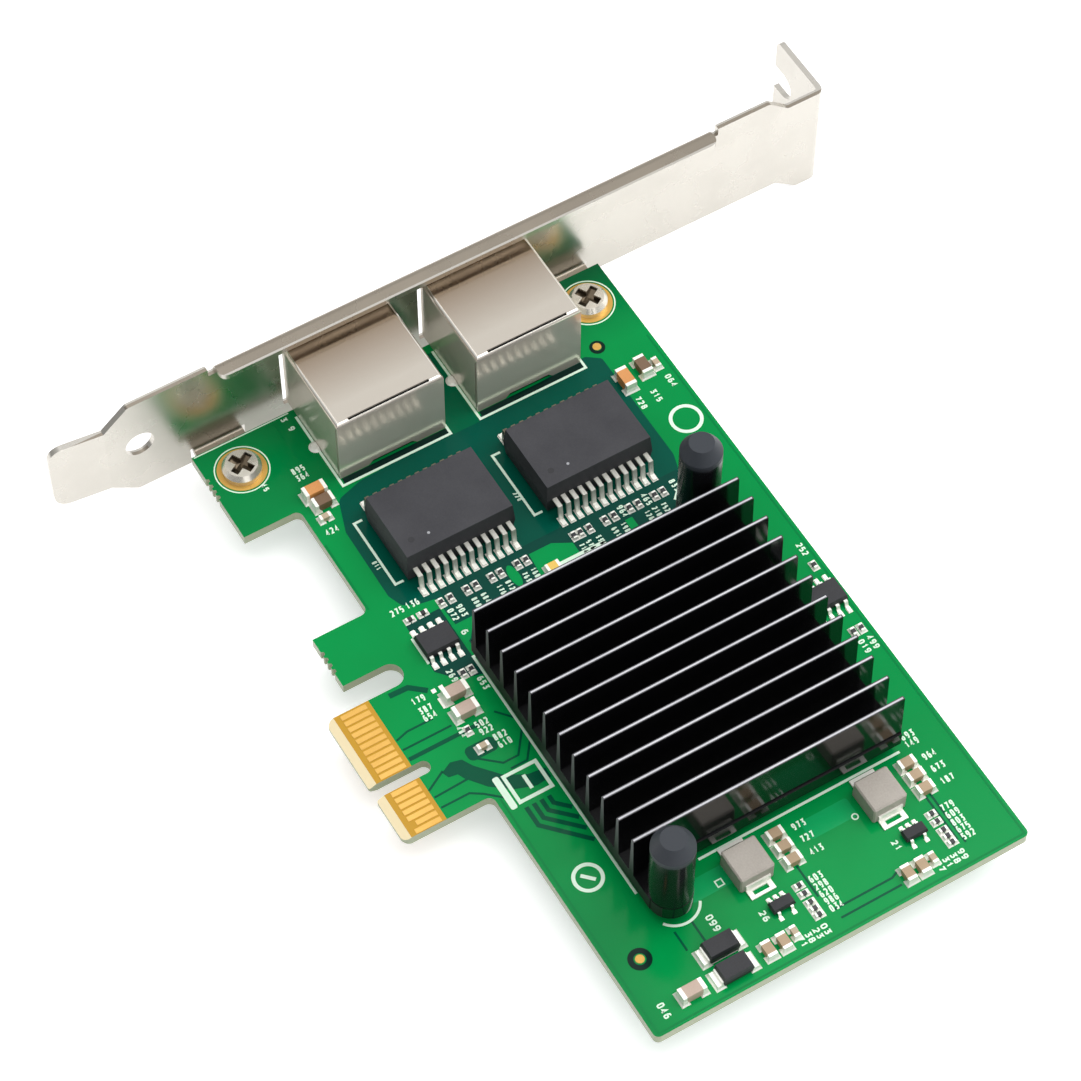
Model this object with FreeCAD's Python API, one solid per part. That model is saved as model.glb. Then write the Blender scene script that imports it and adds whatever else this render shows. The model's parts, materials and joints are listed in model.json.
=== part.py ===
"""Network interface card: a short bus adapter with two modular jacks, a finned heat sink and a bracket.

Frame, in millimetres: the origin lies on the tip line of the edge connector, at the centre of its key
notch and on the component face of the board. +X runs away from the bracket along the board, +Y from
the edge connector to the card's top edge, and +Z stands off the component side.
"""
import FreeCAD, Part
import math
import os

Vec = FreeCAD.Vector

# ---------------------------------------------------------------- board and edge connector
BOARD_THICKNESS = 1.57
CONNECTOR_HEIGHT = 12.75          # tip line of the contacts to the lower edge of the board's body
LOWER_BAND = 7.1                  # lower edge of the body to the first jack
UPPER_BAND = 10.7                 # second jack to the top edge
FAR_BAND = 2.95                   # centre line of the outermost parts to the far edge
BOARD_CORNER_RADIUS = 0.8
BODY_NOTCH_RADIUS = 1.0           # inside corners where the tabs leave the body
CORNER_TAB_WIDTH = 14.7           # tab under the bracket end of the body
CORNER_TAB_TIP_Y = 4.45
HOOK_TAB_WIDTH = 8.1              # retention hook beside the connector
HOOK_TAB_TIP_Y = 4.5
HOOK_SLOT_WIDTH = 3.5
HOOK_SLOT_END_Y = 12.2
MAIN_TAB_WIDTH = 11.2             # connector tongue on the bracket side of the key
SHORT_TAB_WIDTH = 7.0             # connector tongue beyond the key
KEY_WIDTH = 1.9
KEY_END_Y = 8.3
TONGUE_TIP_RADIUS = 1.0
TONGUE_BEVEL_LENGTH = 1.1
TONGUE_BEVEL_DEPTH = 0.5
BREAKOFF_DEPTH = 0.36             # notches that are left where the board was snapped from its panel
BREAKOFF_PITCH = 1.0
BREAKOFF_COUNT = 4

CONTACT_PITCH = 1.0
CONTACT_WIDTH = 0.7
CONTACT_START_Y = 1.9
CONTACT_END_Y = 5.6
SHORT_CONTACT_START_Y = 2.6       # the presence contact is set back from the tip
CONTACT_THICKNESS = 0.05
CONTACT_KEY_OFFSET = 1.5          # key centre to the first contact on either side
CONTACTS_BEFORE_KEY = 11
CONTACTS_AFTER_KEY = 7

# ---------------------------------------------------------------- mounting bracket
SHEET = 0.86
BRACKET_SETBACK = 59.72           # key centre to the bracket's outer face
BOARD_TO_BRACKET = 2.0
BRACKET_TIP_Y = -14.37
BRACKET_LENGTH = 120.02
WALL_BOTTOM_Z = -4.16
WALL_TOP_Z = 14.26
TONGUE_BOTTOM_Z = -1.3
TONGUE_TOP_Z = 11.0
TONGUE_SHOULDER_LENGTH = 3.8      # slanted step from the full width to the tongue
TONGUE_LENGTH = 7.87
TONGUE_END_RADIUS = 2.2
TONGUE_BEND = 6.7                 # degrees outward
TONGUE_HOLE_RADIUS = 2.1
TONGUE_HOLE_FROM_TIP = 12.67
TONGUE_HOLE_Z = 5.4
BEND_INNER_RADIUS = 0.4
EAR_REACH = 10.94                 # free edge of the ear to the wall's inner face
EAR_BOTTOM_Z = -7.07
EAR_TOP_Z = 11.5
EAR_BOTTOM_JOG = (7.3, 3.65)      # start of the jog below the fold, and where it ends
EAR_TOP_JOG = (9.25, 6.05)
EAR_CORNER_RADIUS = 1.0
EAR_SLOT_WIDTH = 4.42
EAR_SLOT_DEPTH = 4.2
EAR_SLOT_Z = 4.2
FLANGE_REACH = 2.92               # stiffening flange, from the wall's outer face
FLANGE_BELOW_JACKS = 9.64
FLANGE_ABOVE_JACKS = 29.9
FLANGE_RELIEF = 1.1
FLANGE_RELIEF_DEPTH = 1.3
FLANGE_END_RADIUS = 1.2
WINDOW_CLEARANCE = 0.42           # round each jack, sideways
WINDOW_BOTTOM_Z = -1.0
WINDOW_TOP_Z = 12.6
WINDOW_RADIUS = 0.4
LUG_WIDTH = 7.4                   # tapped lugs, folded under the board
LUG_OVERHANG = 3.4                # beyond the screw's axis
LUG_RELIEF = 0.4
LUG_CORNER_RADIUS = 1.5

SCREW_FROM_BRACKET = 7.1          # screw axis to the wall's inner face
LOWER_SCREW_Y = 9.35
UPPER_SCREW_FROM_TOP = 4.65
SCREW_SHANK_RADIUS = 1.45
SCREW_LENGTH = 4.0                # under the head
SCREW_HEAD_RADIUS = 2.7
SCREW_HEAD_HEIGHT = 1.5
SCREW_RIM_HEIGHT = 0.8
SCREW_CROWN_RADIUS = 2.2
SCREW_HOLE_CLEARANCE = 0.3
THREAD_CLEARANCE = 0.05
CROSS_WIDTH = 1.15                # cross recess of the head
CROSS_LENGTH = 3.6
CROSS_DEPTH = 1.1
PAD_RADIUS = 3.4
PAD_THICKNESS = 0.05

# ---------------------------------------------------------------- modular jacks
JACK_WIDTH = 16.1
JACK_PITCH = 21.1
JACK_DEPTH = 14.9
JACK_HEIGHT = 11.9
JACK_TO_BRACKET = 0.2
SHELL_SHEET = 0.25
SHELL_EDGE_RADIUS = 0.55
SHELL_TO_HOUSING = 0.05
REAR_SLOT_LENGTH = 12.2           # vent along the shell's rear top fold
REAR_SLOT_WIDTH = 0.4
REAR_SLOT_SETBACK = 0.3            # lip between the slot and the back plate's face
REAR_NOTCH_WIDTH = 7.4            # shallow arch at the foot of the shell's back plate
REAR_NOTCH_HEIGHT = 0.7
CORNER_RELIEF = 0.25              # slits between the sides and the back plate
CORNER_RELIEF_START_Z = 10.9
GROUND_TAB_FROM_FRONT = 8.7
GROUND_TAB_WIDTH = 1.8
GROUND_TAB_BELOW_BOARD = 1.1
TAB_CLEARANCE = 0.15
PLUG_WIDTH = 11.8                 # plug cavity
PLUG_BOTTOM_Z = 1.4
PLUG_HEIGHT = 6.8
PLUG_DEPTH = 12.3
LATCH_WIDTH = 6.2
LATCH_HEIGHT = 1.4
LATCH_KEY_WIDTH = 3.3
LATCH_KEY_HEIGHT = 1.0
FACE_OPENING_MARGIN = 0.35        # shell's front opening round the cavity
WIRE_COUNT = 8
WIRE_PITCH = 1.02
WIRE_THICKNESS = 0.36
WIRE_ROOT_INSET = 1.6             # behind the housing's face
WIRE_RUN = 7.6
WIRE_RISE = 1.7
WIRE_GROOVE = 0.55                # depth of the comb that holds the wires' roots
SIGNAL_PIN_WIDTH = 0.46
SIGNAL_PIN_BELOW_BOARD = 1.3
SIGNAL_PIN_ROW_SPACING = 2.54
SIGNAL_PIN_FROM_REAR = 2.4
SIGNAL_PIN_CLEARANCE = 0.12
SOLDER_RADIUS = 0.95
SOLDER_HEIGHT = 0.3
SOLDER_SETOUT = 0.35              # bead's centre from the shell's side
SOLDER_GAP = 0.05

# ---------------------------------------------------------------- transformers
TRANSFORMER_FROM_JACK = 7.55
TRANSFORMER_WIDTH = 11.3
TRANSFORMER_LENGTH = 16.3
TRANSFORMER_TOP_Z = 5.7
TRANSFORMER_BOTTOM_Z = 0.3
TRANSFORMER_DRAFT = 0.25
TRANSFORMER_OFFSET_Y = -0.4       # from the jack's centre line
TRANSFORMER_LEAD_COUNT = 12
TRANSFORMER_LEAD_PITCH = 1.27
TRANSFORMER_LEAD_WIDTH = 0.62
TRANSFORMER_LEAD_THICKNESS = 0.3
TRANSFORMER_SHOULDER_Z = 2.8
TRANSFORMER_SHOULDER_REACH = 1.45
TRANSFORMER_FOOT_REACH = 2.8

# ---------------------------------------------------------------- heat sink, its pins and the controller
STRIP_FROM_TRANSFORMER = 5.2      # centre line of the small parts between transformers and heat sink
HEAT_SINK_FROM_TRANSFORMER = 14.0
HEAT_SINK_WIDTH = 39.75
HEAT_SINK_DEPTH = 39.6
HEAT_SINK_ABOVE_EDGE = 8.05       # from the lower edge of the body
BASE_THICKNESS = 2.4
HEAT_SINK_TOP_Z = 12.2
FIN_PITCH = 3.48
FIN_ROOT = 1.0
FIN_TIP = 0.5
LUG_RADIUS = 2.9
PIN_OUTBOARD = 3.66               # pin axis beyond the base's side
PIN_INBOARD = 3.0                 # pin axis inside the base's other side
PIN_CAP_RADIUS = 2.85
PIN_CAP_HEIGHT = 12.8
PIN_CROWN_RADIUS = 1.7
PIN_CROWN_HEIGHT = 1.8
PIN_HOLE_RADIUS = 1.65             # in the base's lugs and in the board
PIN_LEG_WIDTH = 2.2
PIN_BARB_WIDTH = 4.2               # across the two barbs below the board
PIN_BARB_GAP = 0.1
PIN_TIP_WIDTH = 1.8
PIN_TIP_LENGTH = 2.6
PIN_SPLIT = 0.8
CHIP_SIZE = 17.0
CHIP_HEIGHT = 1.45
THERMAL_PAD_THICKNESS = 0.35
THERMAL_PAD_MARGIN = 1.0
FIDUCIAL_RADIUS = 0.6

# ---------------------------------------------------------------- packaged parts on the board
SOIC_WIDTH = 3.5
SOIC_LENGTH = 4.9
SOIC_TOP_Z = 1.6
SOIC_STANDOFF = 0.1
SOIC_PITCH = 1.27
SOIC_LEAD_COUNT = 4
SOIC_LEAD_WIDTH = 0.5
SOIC_LEAD_THICKNESS = 0.2
SOIC_SHOULDER_Z = 0.85
SOIC_SHOULDER_REACH = 0.3
SOIC_FOOT_REACH = 1.5
SOT_WIDTH = 1.6
SOT_LENGTH = 3.2
SOT_TOP_Z = 1.15
SOT_PITCH = 0.95
SOT_LEAD_COUNT = 3
SOT_LEAD_WIDTH = 0.4
SOT_LEAD_THICKNESS = 0.15
SOT_SHOULDER_Z = 0.6
SOT_SHOULDER_REACH = 0.2
SOT_FOOT_REACH = 0.9
MOULD_DRAFT = 0.15                # slant of moulded sides between parting line and top
INDUCTOR_SIDE = 4.95
INDUCTOR_TOP_Z = 3.0
INDUCTOR_STANDOFF = 0.1
INDUCTOR_CHAMFER = 0.2
INDUCTOR_TERMINAL_WIDTH = 3.6
INDUCTOR_TERMINAL_HEIGHT = 1.3
INDUCTOR_TERMINAL_THICKNESS = 0.25
INDUCTOR_FOOT_REACH = 1.6
INDUCTOR_FOOT_SLOT = (2.2, 0.65)     # opening in each foot, along and out from the body
DIODE_WIDTH = 2.6
DIODE_LENGTH = 4.3
DIODE_TOP_Z = 1.95
DIODE_STANDOFF = 0.1
DIODE_STRAP_WIDTH = 2.1
DIODE_STRAP_THICKNESS = 0.2
DIODE_STRAP_HEIGHT = 1.2
DIODE_FOOT_REACH = 0.8

INDUCTOR_COLUMN = 4.45            # centre lines of the columns beyond the heat sink's far side
REGULATOR_COLUMN = 10.9
NEAR_DIODE_COLUMN = 12.4
FAR_COLUMN = 15.4

# Chip parts: length, width, height, length of a metal end.
LARGE_CHIP = (3.4, 1.65, 1.5, 0.55)
TALL_CHIP = (3.2, 1.6, 1.7, 0.5)
MEDIUM_CHIP = (2.3, 1.3, 1.1, 0.42)
WIDE_CHIP = (2.9, 1.55, 1.35, 0.45)
SMALL_CHIP = (1.6, 0.8, 0.8, 0.35)
TINY_CHIP = (1.1, 0.55, 0.5, 0.25)
INDICATOR_CHIP = (2.0, 1.25, 0.8, 0.4)
ALONG_X = 0
ALONG_Y = 90

# ---------------------------------------------------------------- places worked out from the sizes above
BRACKET_OUTER_X = -BRACKET_SETBACK
BRACKET_INNER_X = BRACKET_OUTER_X + SHEET
BRACKET_END_Y = BRACKET_TIP_Y + BRACKET_LENGTH
BEND_OUTER_RADIUS = BEND_INNER_RADIUS + SHEET
BOARD_NEAR_X = BRACKET_INNER_X + BOARD_TO_BRACKET
BODY_LOW_Y = CONNECTOR_HEIGHT
JACK_FRONT_X = BRACKET_INNER_X + JACK_TO_BRACKET
JACK_REAR_X = JACK_FRONT_X + JACK_DEPTH
JACK_Y = [BODY_LOW_Y + LOWER_BAND + JACK_WIDTH / 2 + i * JACK_PITCH for i in range(2)]
BOARD_TOP_Y = JACK_Y[-1] + JACK_WIDTH / 2 + UPPER_BAND
TRANSFORMER_X = JACK_REAR_X + TRANSFORMER_FROM_JACK + TRANSFORMER_WIDTH / 2
TRANSFORMER_FAR_X = TRANSFORMER_X + TRANSFORMER_WIDTH / 2
TRANSFORMER_Y = [y + TRANSFORMER_OFFSET_Y for y in JACK_Y]
STRIP_X = TRANSFORMER_FAR_X + STRIP_FROM_TRANSFORMER
SINK_NEAR_X = TRANSFORMER_FAR_X + HEAT_SINK_FROM_TRANSFORMER
SINK_FAR_X = SINK_NEAR_X + HEAT_SINK_WIDTH
SINK_LOW_Y = BODY_LOW_Y + HEAT_SINK_ABOVE_EDGE
SINK_HIGH_Y = SINK_LOW_Y + HEAT_SINK_DEPTH
SINK_X = (SINK_NEAR_X + SINK_FAR_X) / 2
SINK_Y = (SINK_LOW_Y + SINK_HIGH_Y) / 2
SINK_BOTTOM_Z = CHIP_HEIGHT + THERMAL_PAD_THICKNESS
BASE_TOP_Z = SINK_BOTTOM_Z + BASE_THICKNESS
PUSH_PINS = [(SINK_NEAR_X - PIN_OUTBOARD, SINK_HIGH_Y - PIN_INBOARD),
             (SINK_FAR_X + PIN_OUTBOARD, SINK_LOW_Y + PIN_INBOARD)]
INDUCTOR_X = SINK_FAR_X + INDUCTOR_COLUMN
REGULATOR_X = SINK_FAR_X + REGULATOR_COLUMN
DIODE_X = SINK_FAR_X + NEAR_DIODE_COLUMN
FAR_X = SINK_FAR_X + FAR_COLUMN
BOARD_FAR_X = FAR_X + FAR_BAND
SCREW_X = BRACKET_INNER_X + SCREW_FROM_BRACKET
SCREWS = [(SCREW_X, LOWER_SCREW_Y), (SCREW_X, BOARD_TOP_Y - UPPER_SCREW_FROM_TOP)]
GROUND_TAB_X = JACK_FRONT_X + GROUND_TAB_FROM_FRONT
HOUSING_FRONT_X = JACK_FRONT_X + SHELL_SHEET + SHELL_TO_HOUSING
HOUSING_REAR_X = JACK_REAR_X - SHELL_SHEET - SHELL_TO_HOUSING
HOUSING_WIDTH = JACK_WIDTH - 2 * (SHELL_SHEET + SHELL_TO_HOUSING)
HOUSING_TOP_Z = JACK_HEIGHT - SHELL_SHEET - SHELL_TO_HOUSING


def at_low(y):
    """Y of a place given above the lower edge of the board's body."""
    return BODY_LOW_Y + y


def at_top(y):
    """Y of a place given below the board's top edge."""
    return BOARD_TOP_Y - y


# Places of the parts on the board. Each row is X, Y and, for chip parts, how the part lies.
MEMORY_CHIP = (SINK_NEAR_X - 4.1, at_low(5.3))
EDGE_CHIP = (SINK_NEAR_X + 16.0, at_top(3.15))
INDUCTORS = [(INDUCTOR_X - 0.05, at_low(21.85)), (INDUCTOR_X + 0.15, at_low(41.4))]
REGULATORS = [(REGULATOR_X, at_low(22.8)), (REGULATOR_X, at_low(42.5))]
DIODES = [(DIODE_X - 0.3, at_low(13.05)), (FAR_X + 0.1, at_low(12.9))]
INDICATOR = (STRIP_X + 2.55, at_low(24.05), ALONG_Y)

TALL_CAPACITORS = [
    (TRANSFORMER_X - 12.75, at_low(2.95), ALONG_Y),
    (TRANSFORMER_X - 7.1, at_top(7.25), ALONG_X),
]
LARGE_CAPACITORS = [
    (SINK_NEAR_X + 3.7, at_low(3.5), ALONG_Y),
    (SINK_NEAR_X + 6.7, at_low(3.25), ALONG_Y),
    (FAR_X, at_low(6.9), ALONG_Y),
]
WIDE_CAPACITORS = [
    (TRANSFORMER_X - 10.85, at_low(3.2), ALONG_Y),
    (TRANSFORMER_X - 7.9, at_top(4.05), ALONG_X),
]
MEDIUM_CAPACITORS = [
    (FAR_X, at_low(18.0), ALONG_X),
    (FAR_X, at_low(20.2), ALONG_X),
    (FAR_X, at_low(38.6), ALONG_X),
    (FAR_X, at_low(40.7), ALONG_X),
] + [(INDUCTOR_X + step, y + INDUCTOR_SIDE / 2 + rise, ALONG_Y)
     for (_, y), rise in zip(INDUCTORS, (3.05, 3.3)) for step in (-2.2, -0.15, 1.95)]
SMALL_CAPACITORS = [
    (TRANSFORMER_X - 8.7, at_low(2.3), ALONG_Y),
    (TRANSFORMER_X - 7.6, at_top(2.15), ALONG_X),
    (SINK_NEAR_X + 12.3, at_low(2.55), ALONG_Y),
    (FAR_X - 0.5, at_low(22.1), ALONG_X),
    (FAR_X - 0.3, at_low(42.5), ALONG_X),
]
STRIP_ROWS = [8.85, 10.25, 12.7, 14.05, 16.45, 17.8, 20.35, 21.65]
STRIP_RESISTORS = [(-0.35, row + step) for step in (0, JACK_PITCH) for row in STRIP_ROWS] + [(-0.35, 29.0)]
CHIP_RESISTORS = [(1.6, 7.1), (1.6, 5.9), (9.2, 2.15)]
UPRIGHT_RESISTORS = [(-8.95, 5.95), (-8.95, 4.0)]
EDGE_RESISTORS = [(-5.15, 1.45), (6.05, 1.45), (6.05, 2.65)]
POWER_RESISTORS = [(x, y) for x in (-1.2, 0.05, 1.45, 2.45, 3.45) for y in (26.1, 45.9)]
RESISTORS = ([(STRIP_X + x, at_low(y), ALONG_X) for x, y in STRIP_RESISTORS]
             + [(SINK_NEAR_X + x, at_low(y), ALONG_X) for x, y in CHIP_RESISTORS]
             + [(SINK_NEAR_X + x, at_low(y), ALONG_Y) for x, y in UPRIGHT_RESISTORS]
             + [(EDGE_CHIP[0] + x, at_top(y), ALONG_X) for x, y in EDGE_RESISTORS]
             + [(REGULATOR_X + x, at_low(y), ALONG_Y) for x, y in POWER_RESISTORS])
FIDUCIALS = [(TRANSFORMER_X - 14.25, at_top(7.45)), (REGULATOR_X - 2.75, at_low(3.95))]


# ---------------------------------------------------------------- shape helpers
def box(x0, x1, y0, y1, z0, z1):
    """Box between two values on each axis."""
    return Part.makeBox(x1 - x0, y1 - y0, z1 - z0, Vec(x0, y0, z0))


def upright(x, y, z0, z1, radius):
    """Cylinder along Z."""
    return Part.makeCylinder(radius, z1 - z0, Vec(x, y, z0))


def square_post(x, y, z0, z1, half_side):
    """Square prism along Z."""
    return box(x - half_side, x + half_side, y - half_side, y + half_side, z0, z1)


def rounded_face(corners):
    """Flat face in XY through (x, y, radius) corners; a radius of 0 leaves the corner sharp."""
    edges = []
    ends = []
    count = len(corners)
    for i, (x, y, radius) in enumerate(corners):
        here = Vec(x, y, 0)
        if radius == 0:
            ends.append((here, here))
            continue
        before = Vec(*corners[i - 1][:2], 0) - here
        after = Vec(*corners[(i + 1) % count][:2], 0) - here
        half_angle = before.getAngle(after) / 2
        before.normalize()
        after.normalize()
        reach = radius / math.tan(half_angle)
        inward = (before + after).normalize() * (radius / math.sin(half_angle) - radius)
        ends.append((here + before * reach, here + after * reach))
        edges.append(Part.Arc(ends[-1][0], here + inward, ends[-1][1]).toShape())
    for i in range(count):
        start = ends[i][1]
        stop = ends[(i + 1) % count][0]
        if start.distanceToPoint(stop) > 1e-6:
            edges.append(Part.makeLine(start, stop))
    return Part.Face(Part.Wire(Part.__sortEdges__(edges)))


def extrude_z(corners, z0, z1):
    """Outline in XY, carried along Z."""
    face = rounded_face(corners)
    face.translate(Vec(0, 0, z0))
    return face.extrude(Vec(0, 0, z1 - z0))


def extrude_x(corners, x0, x1):
    """Outline given as (y, z, radius), carried along X."""
    turn = FreeCAD.Placement(Vec(x0, 0, 0), FreeCAD.Rotation(Vec(1, 1, 1), 120))
    face = rounded_face(corners)
    face.Placement = turn
    return face.extrude(Vec(x1 - x0, 0, 0))


def extrude_y(corners, y0, y1):
    """Outline given as (x, z, radius), carried along Y."""
    face = rounded_face(corners)
    face.Placement = FreeCAD.Placement(Vec(0, y0, 0), FreeCAD.Rotation(Vec(1, 0, 0), 90))
    return face.extrude(Vec(0, y1 - y0, 0))


def ribbon(path, thickness):
    """Corners of a strip of even thickness along a path of (x, z) points, mitred at its turns."""
    points = [Vec(x, z, 0) for x, z in path]
    sides = [(b - a).normalize() for a, b in zip(points, points[1:])]
    normals = [Vec(-s.y, s.x, 0) for s in sides]
    left = []
    right = []
    for i, point in enumerate(points):
        first = normals[max(i - 1, 0)]
        second = normals[min(i, len(normals) - 1)]
        mitre = (first + second).normalize()
        offset = mitre * (thickness / 2 / mitre.dot(first))
        left.append(point + offset)
        right.append(point - offset)
    return [(p.x, p.y, 0) for p in left + right[::-1]]


def bent_strip(vertical, horizontal, sheet, inner_radius):
    """Corners of an angle: a leg up from the origin corner and a leg along +x, bent round that corner."""
    outer = inner_radius + sheet
    return [(0, 0, outer), (horizontal, 0, 0), (horizontal, sheet, 0), (sheet, sheet, inner_radius),
            (sheet, vertical, 0), (0, vertical, 0)]


def fused(solids):
    """One solid from several that overlap or meet."""
    return solids[0].multiFuse(solids[1:]).removeSplitter()


def save(node, solids):
    """Write one node's solids to its STEP file."""
    pieces = []
    for solid in solids:
        pieces.extend(solid.Solids)
    Part.makeCompound(pieces).exportStep("parts/%s.step" % node)


# ---------------------------------------------------------------- board
def breakoff_notches(centre_x, edge_y):
    """Row of small notches in a tab's lower edge."""
    half_row = (BREAKOFF_COUNT - 1) / 2
    notches = []
    for i in range(BREAKOFF_COUNT):
        x = centre_x + (i - half_row) * BREAKOFF_PITCH
        corners = [
            (x - BREAKOFF_DEPTH, edge_y, 0),
            (x + BREAKOFF_DEPTH, edge_y, 0),
            (x + BREAKOFF_DEPTH / 2, edge_y + BREAKOFF_DEPTH, 0),
            (x - BREAKOFF_DEPTH / 2, edge_y + BREAKOFF_DEPTH, 0),
        ]
        notches.append(extrude_z(corners, -BOARD_THICKNESS, 0))
    return notches


def circuit_board():
    """Board with its tabs, key notch, bevelled tongues and all its holes."""
    key = KEY_WIDTH / 2
    main_end = -key - MAIN_TAB_WIDTH
    hook_end = main_end - HOOK_SLOT_WIDTH
    hook_start = hook_end - HOOK_TAB_WIDTH
    short_end = key + SHORT_TAB_WIDTH
    tab_end = BOARD_NEAR_X + CORNER_TAB_WIDTH
    outline = [
        (BOARD_NEAR_X, CORNER_TAB_TIP_Y, 0),
        (tab_end, CORNER_TAB_TIP_Y, 0),
        (tab_end, BODY_LOW_Y, BODY_NOTCH_RADIUS),
        (hook_start, BODY_LOW_Y, BODY_NOTCH_RADIUS),
        (hook_start, HOOK_TAB_TIP_Y, 0),
        (hook_end, HOOK_TAB_TIP_Y, 0),
        (hook_end, HOOK_SLOT_END_Y, HOOK_SLOT_WIDTH / 2),
        (main_end, HOOK_SLOT_END_Y, HOOK_SLOT_WIDTH / 2),
        (main_end, 0, TONGUE_TIP_RADIUS),
        (-key, 0, TONGUE_TIP_RADIUS / 3),
        (-key, KEY_END_Y, key),
        (key, KEY_END_Y, key),
        (key, 0, TONGUE_TIP_RADIUS / 3),
        (short_end, 0, TONGUE_TIP_RADIUS),
        (short_end, BODY_LOW_Y, BODY_NOTCH_RADIUS),
        (BOARD_FAR_X, BODY_LOW_Y, BOARD_CORNER_RADIUS),
        (BOARD_FAR_X, BOARD_TOP_Y, BOARD_CORNER_RADIUS),
        (BOARD_NEAR_X, BOARD_TOP_Y, 0),
    ]
    board = extrude_z(outline, -BOARD_THICKNESS, 0)
    bevels = []
    for face_z, inward in ((0, -1), (-BOARD_THICKNESS, 1)):
        wedge = [(0, face_z, 0), (0, face_z + inward * TONGUE_BEVEL_DEPTH, 0), (TONGUE_BEVEL_LENGTH, face_z, 0)]
        bevels.append(extrude_x(wedge, main_end, short_end))
    holes = [upright(x, y, -BOARD_THICKNESS, 0, SCREW_SHANK_RADIUS + SCREW_HOLE_CLEARANCE) for x, y in SCREWS]
    holes += [upright(x, y, -BOARD_THICKNESS, 0, PIN_HOLE_RADIUS) for x, y in PUSH_PINS]
    half_tab = GROUND_TAB_WIDTH / 2 + TAB_CLEARANCE
    for jack_y in JACK_Y:
        for side in (-1, 1):
            tab_y = jack_y + side * (JACK_WIDTH - SHELL_SHEET) / 2
            half_slot = SHELL_SHEET / 2 + TAB_CLEARANCE
            holes.append(box(GROUND_TAB_X - half_tab, GROUND_TAB_X + half_tab,
                             tab_y - half_slot, tab_y + half_slot, -BOARD_THICKNESS, 0))
        for x, y in jack_pin_places(jack_y):
            holes.append(square_post(x, y, -BOARD_THICKNESS, 0, SIGNAL_PIN_WIDTH / 2 + SIGNAL_PIN_CLEARANCE))
    notches = breakoff_notches((hook_start + hook_end) / 2, HOOK_TAB_TIP_Y)
    notches += breakoff_notches(tab_end - CORNER_TAB_WIDTH * 0.6, CORNER_TAB_TIP_Y)
    return board.cut(bevels + holes + notches)


def edge_contacts():
    """Gold contacts on both faces of the tongues."""
    contacts = []
    before = [-CONTACT_KEY_OFFSET - i * CONTACT_PITCH for i in range(CONTACTS_BEFORE_KEY)]
    after = [CONTACT_KEY_OFFSET + i * CONTACT_PITCH for i in range(CONTACTS_AFTER_KEY)]
    half = CONTACT_WIDTH / 2
    for x in before + after:
        short = x == after[-2]
        start = SHORT_CONTACT_START_Y if short else CONTACT_START_Y
        for bottom in (0, -BOARD_THICKNESS - CONTACT_THICKNESS):
            contacts.append(box(x - half, x + half, start, CONTACT_END_Y, bottom, bottom + CONTACT_THICKNESS))
    return contacts


def screw_pads():
    """Bare copper rings under the two screw heads."""
    hole_radius = SCREW_SHANK_RADIUS + SCREW_HOLE_CLEARANCE
    return [upright(x, y, 0, PAD_THICKNESS, PAD_RADIUS).cut(upright(x, y, 0, PAD_THICKNESS, hole_radius))
            for x, y in SCREWS]


# ---------------------------------------------------------------- bracket and screws
def bracket_wall():
    """Flat wall with its shoulders and jogs, up to the start of the ear's bend."""
    shoulder_y = BRACKET_TIP_Y + TONGUE_LENGTH + TONGUE_SHOULDER_LENGTH
    tongue_y = BRACKET_TIP_Y + TONGUE_LENGTH
    bend_y = BRACKET_END_Y - BEND_OUTER_RADIUS
    outline = [
        (tongue_y, TONGUE_BOTTOM_Z, 0),
        (shoulder_y, WALL_BOTTOM_Z, SHEET),
        (BRACKET_END_Y - EAR_BOTTOM_JOG[0], WALL_BOTTOM_Z, SHEET),
        (BRACKET_END_Y - EAR_BOTTOM_JOG[1], EAR_BOTTOM_Z, SHEET),
        (bend_y, EAR_BOTTOM_Z, 0),
        (bend_y, EAR_TOP_Z, 0),
        (BRACKET_END_Y - EAR_TOP_JOG[1], EAR_TOP_Z, SHEET),
        (BRACKET_END_Y - EAR_TOP_JOG[0], WALL_TOP_Z, SHEET),
        (shoulder_y, WALL_TOP_Z, SHEET),
        (tongue_y, TONGUE_TOP_Z, 0),
    ]
    return extrude_x(outline, BRACKET_OUTER_X, BRACKET_INNER_X)


def bracket_tongue():
    """Tongue that slips behind the chassis rail, leaning outward."""
    start = BRACKET_TIP_Y + TONGUE_LENGTH
    outline = [
        (start, TONGUE_BOTTOM_Z, 0),
        (start, TONGUE_TOP_Z, 0),
        (BRACKET_TIP_Y, TONGUE_TOP_Z, TONGUE_END_RADIUS),
        (BRACKET_TIP_Y, TONGUE_BOTTOM_Z, TONGUE_END_RADIUS),
    ]
    tongue = extrude_x(outline, BRACKET_OUTER_X, BRACKET_INNER_X)
    tongue.rotate(Vec(BRACKET_INNER_X, start, 0), Vec(0, 0, 1), -TONGUE_BEND)
    return tongue


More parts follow.
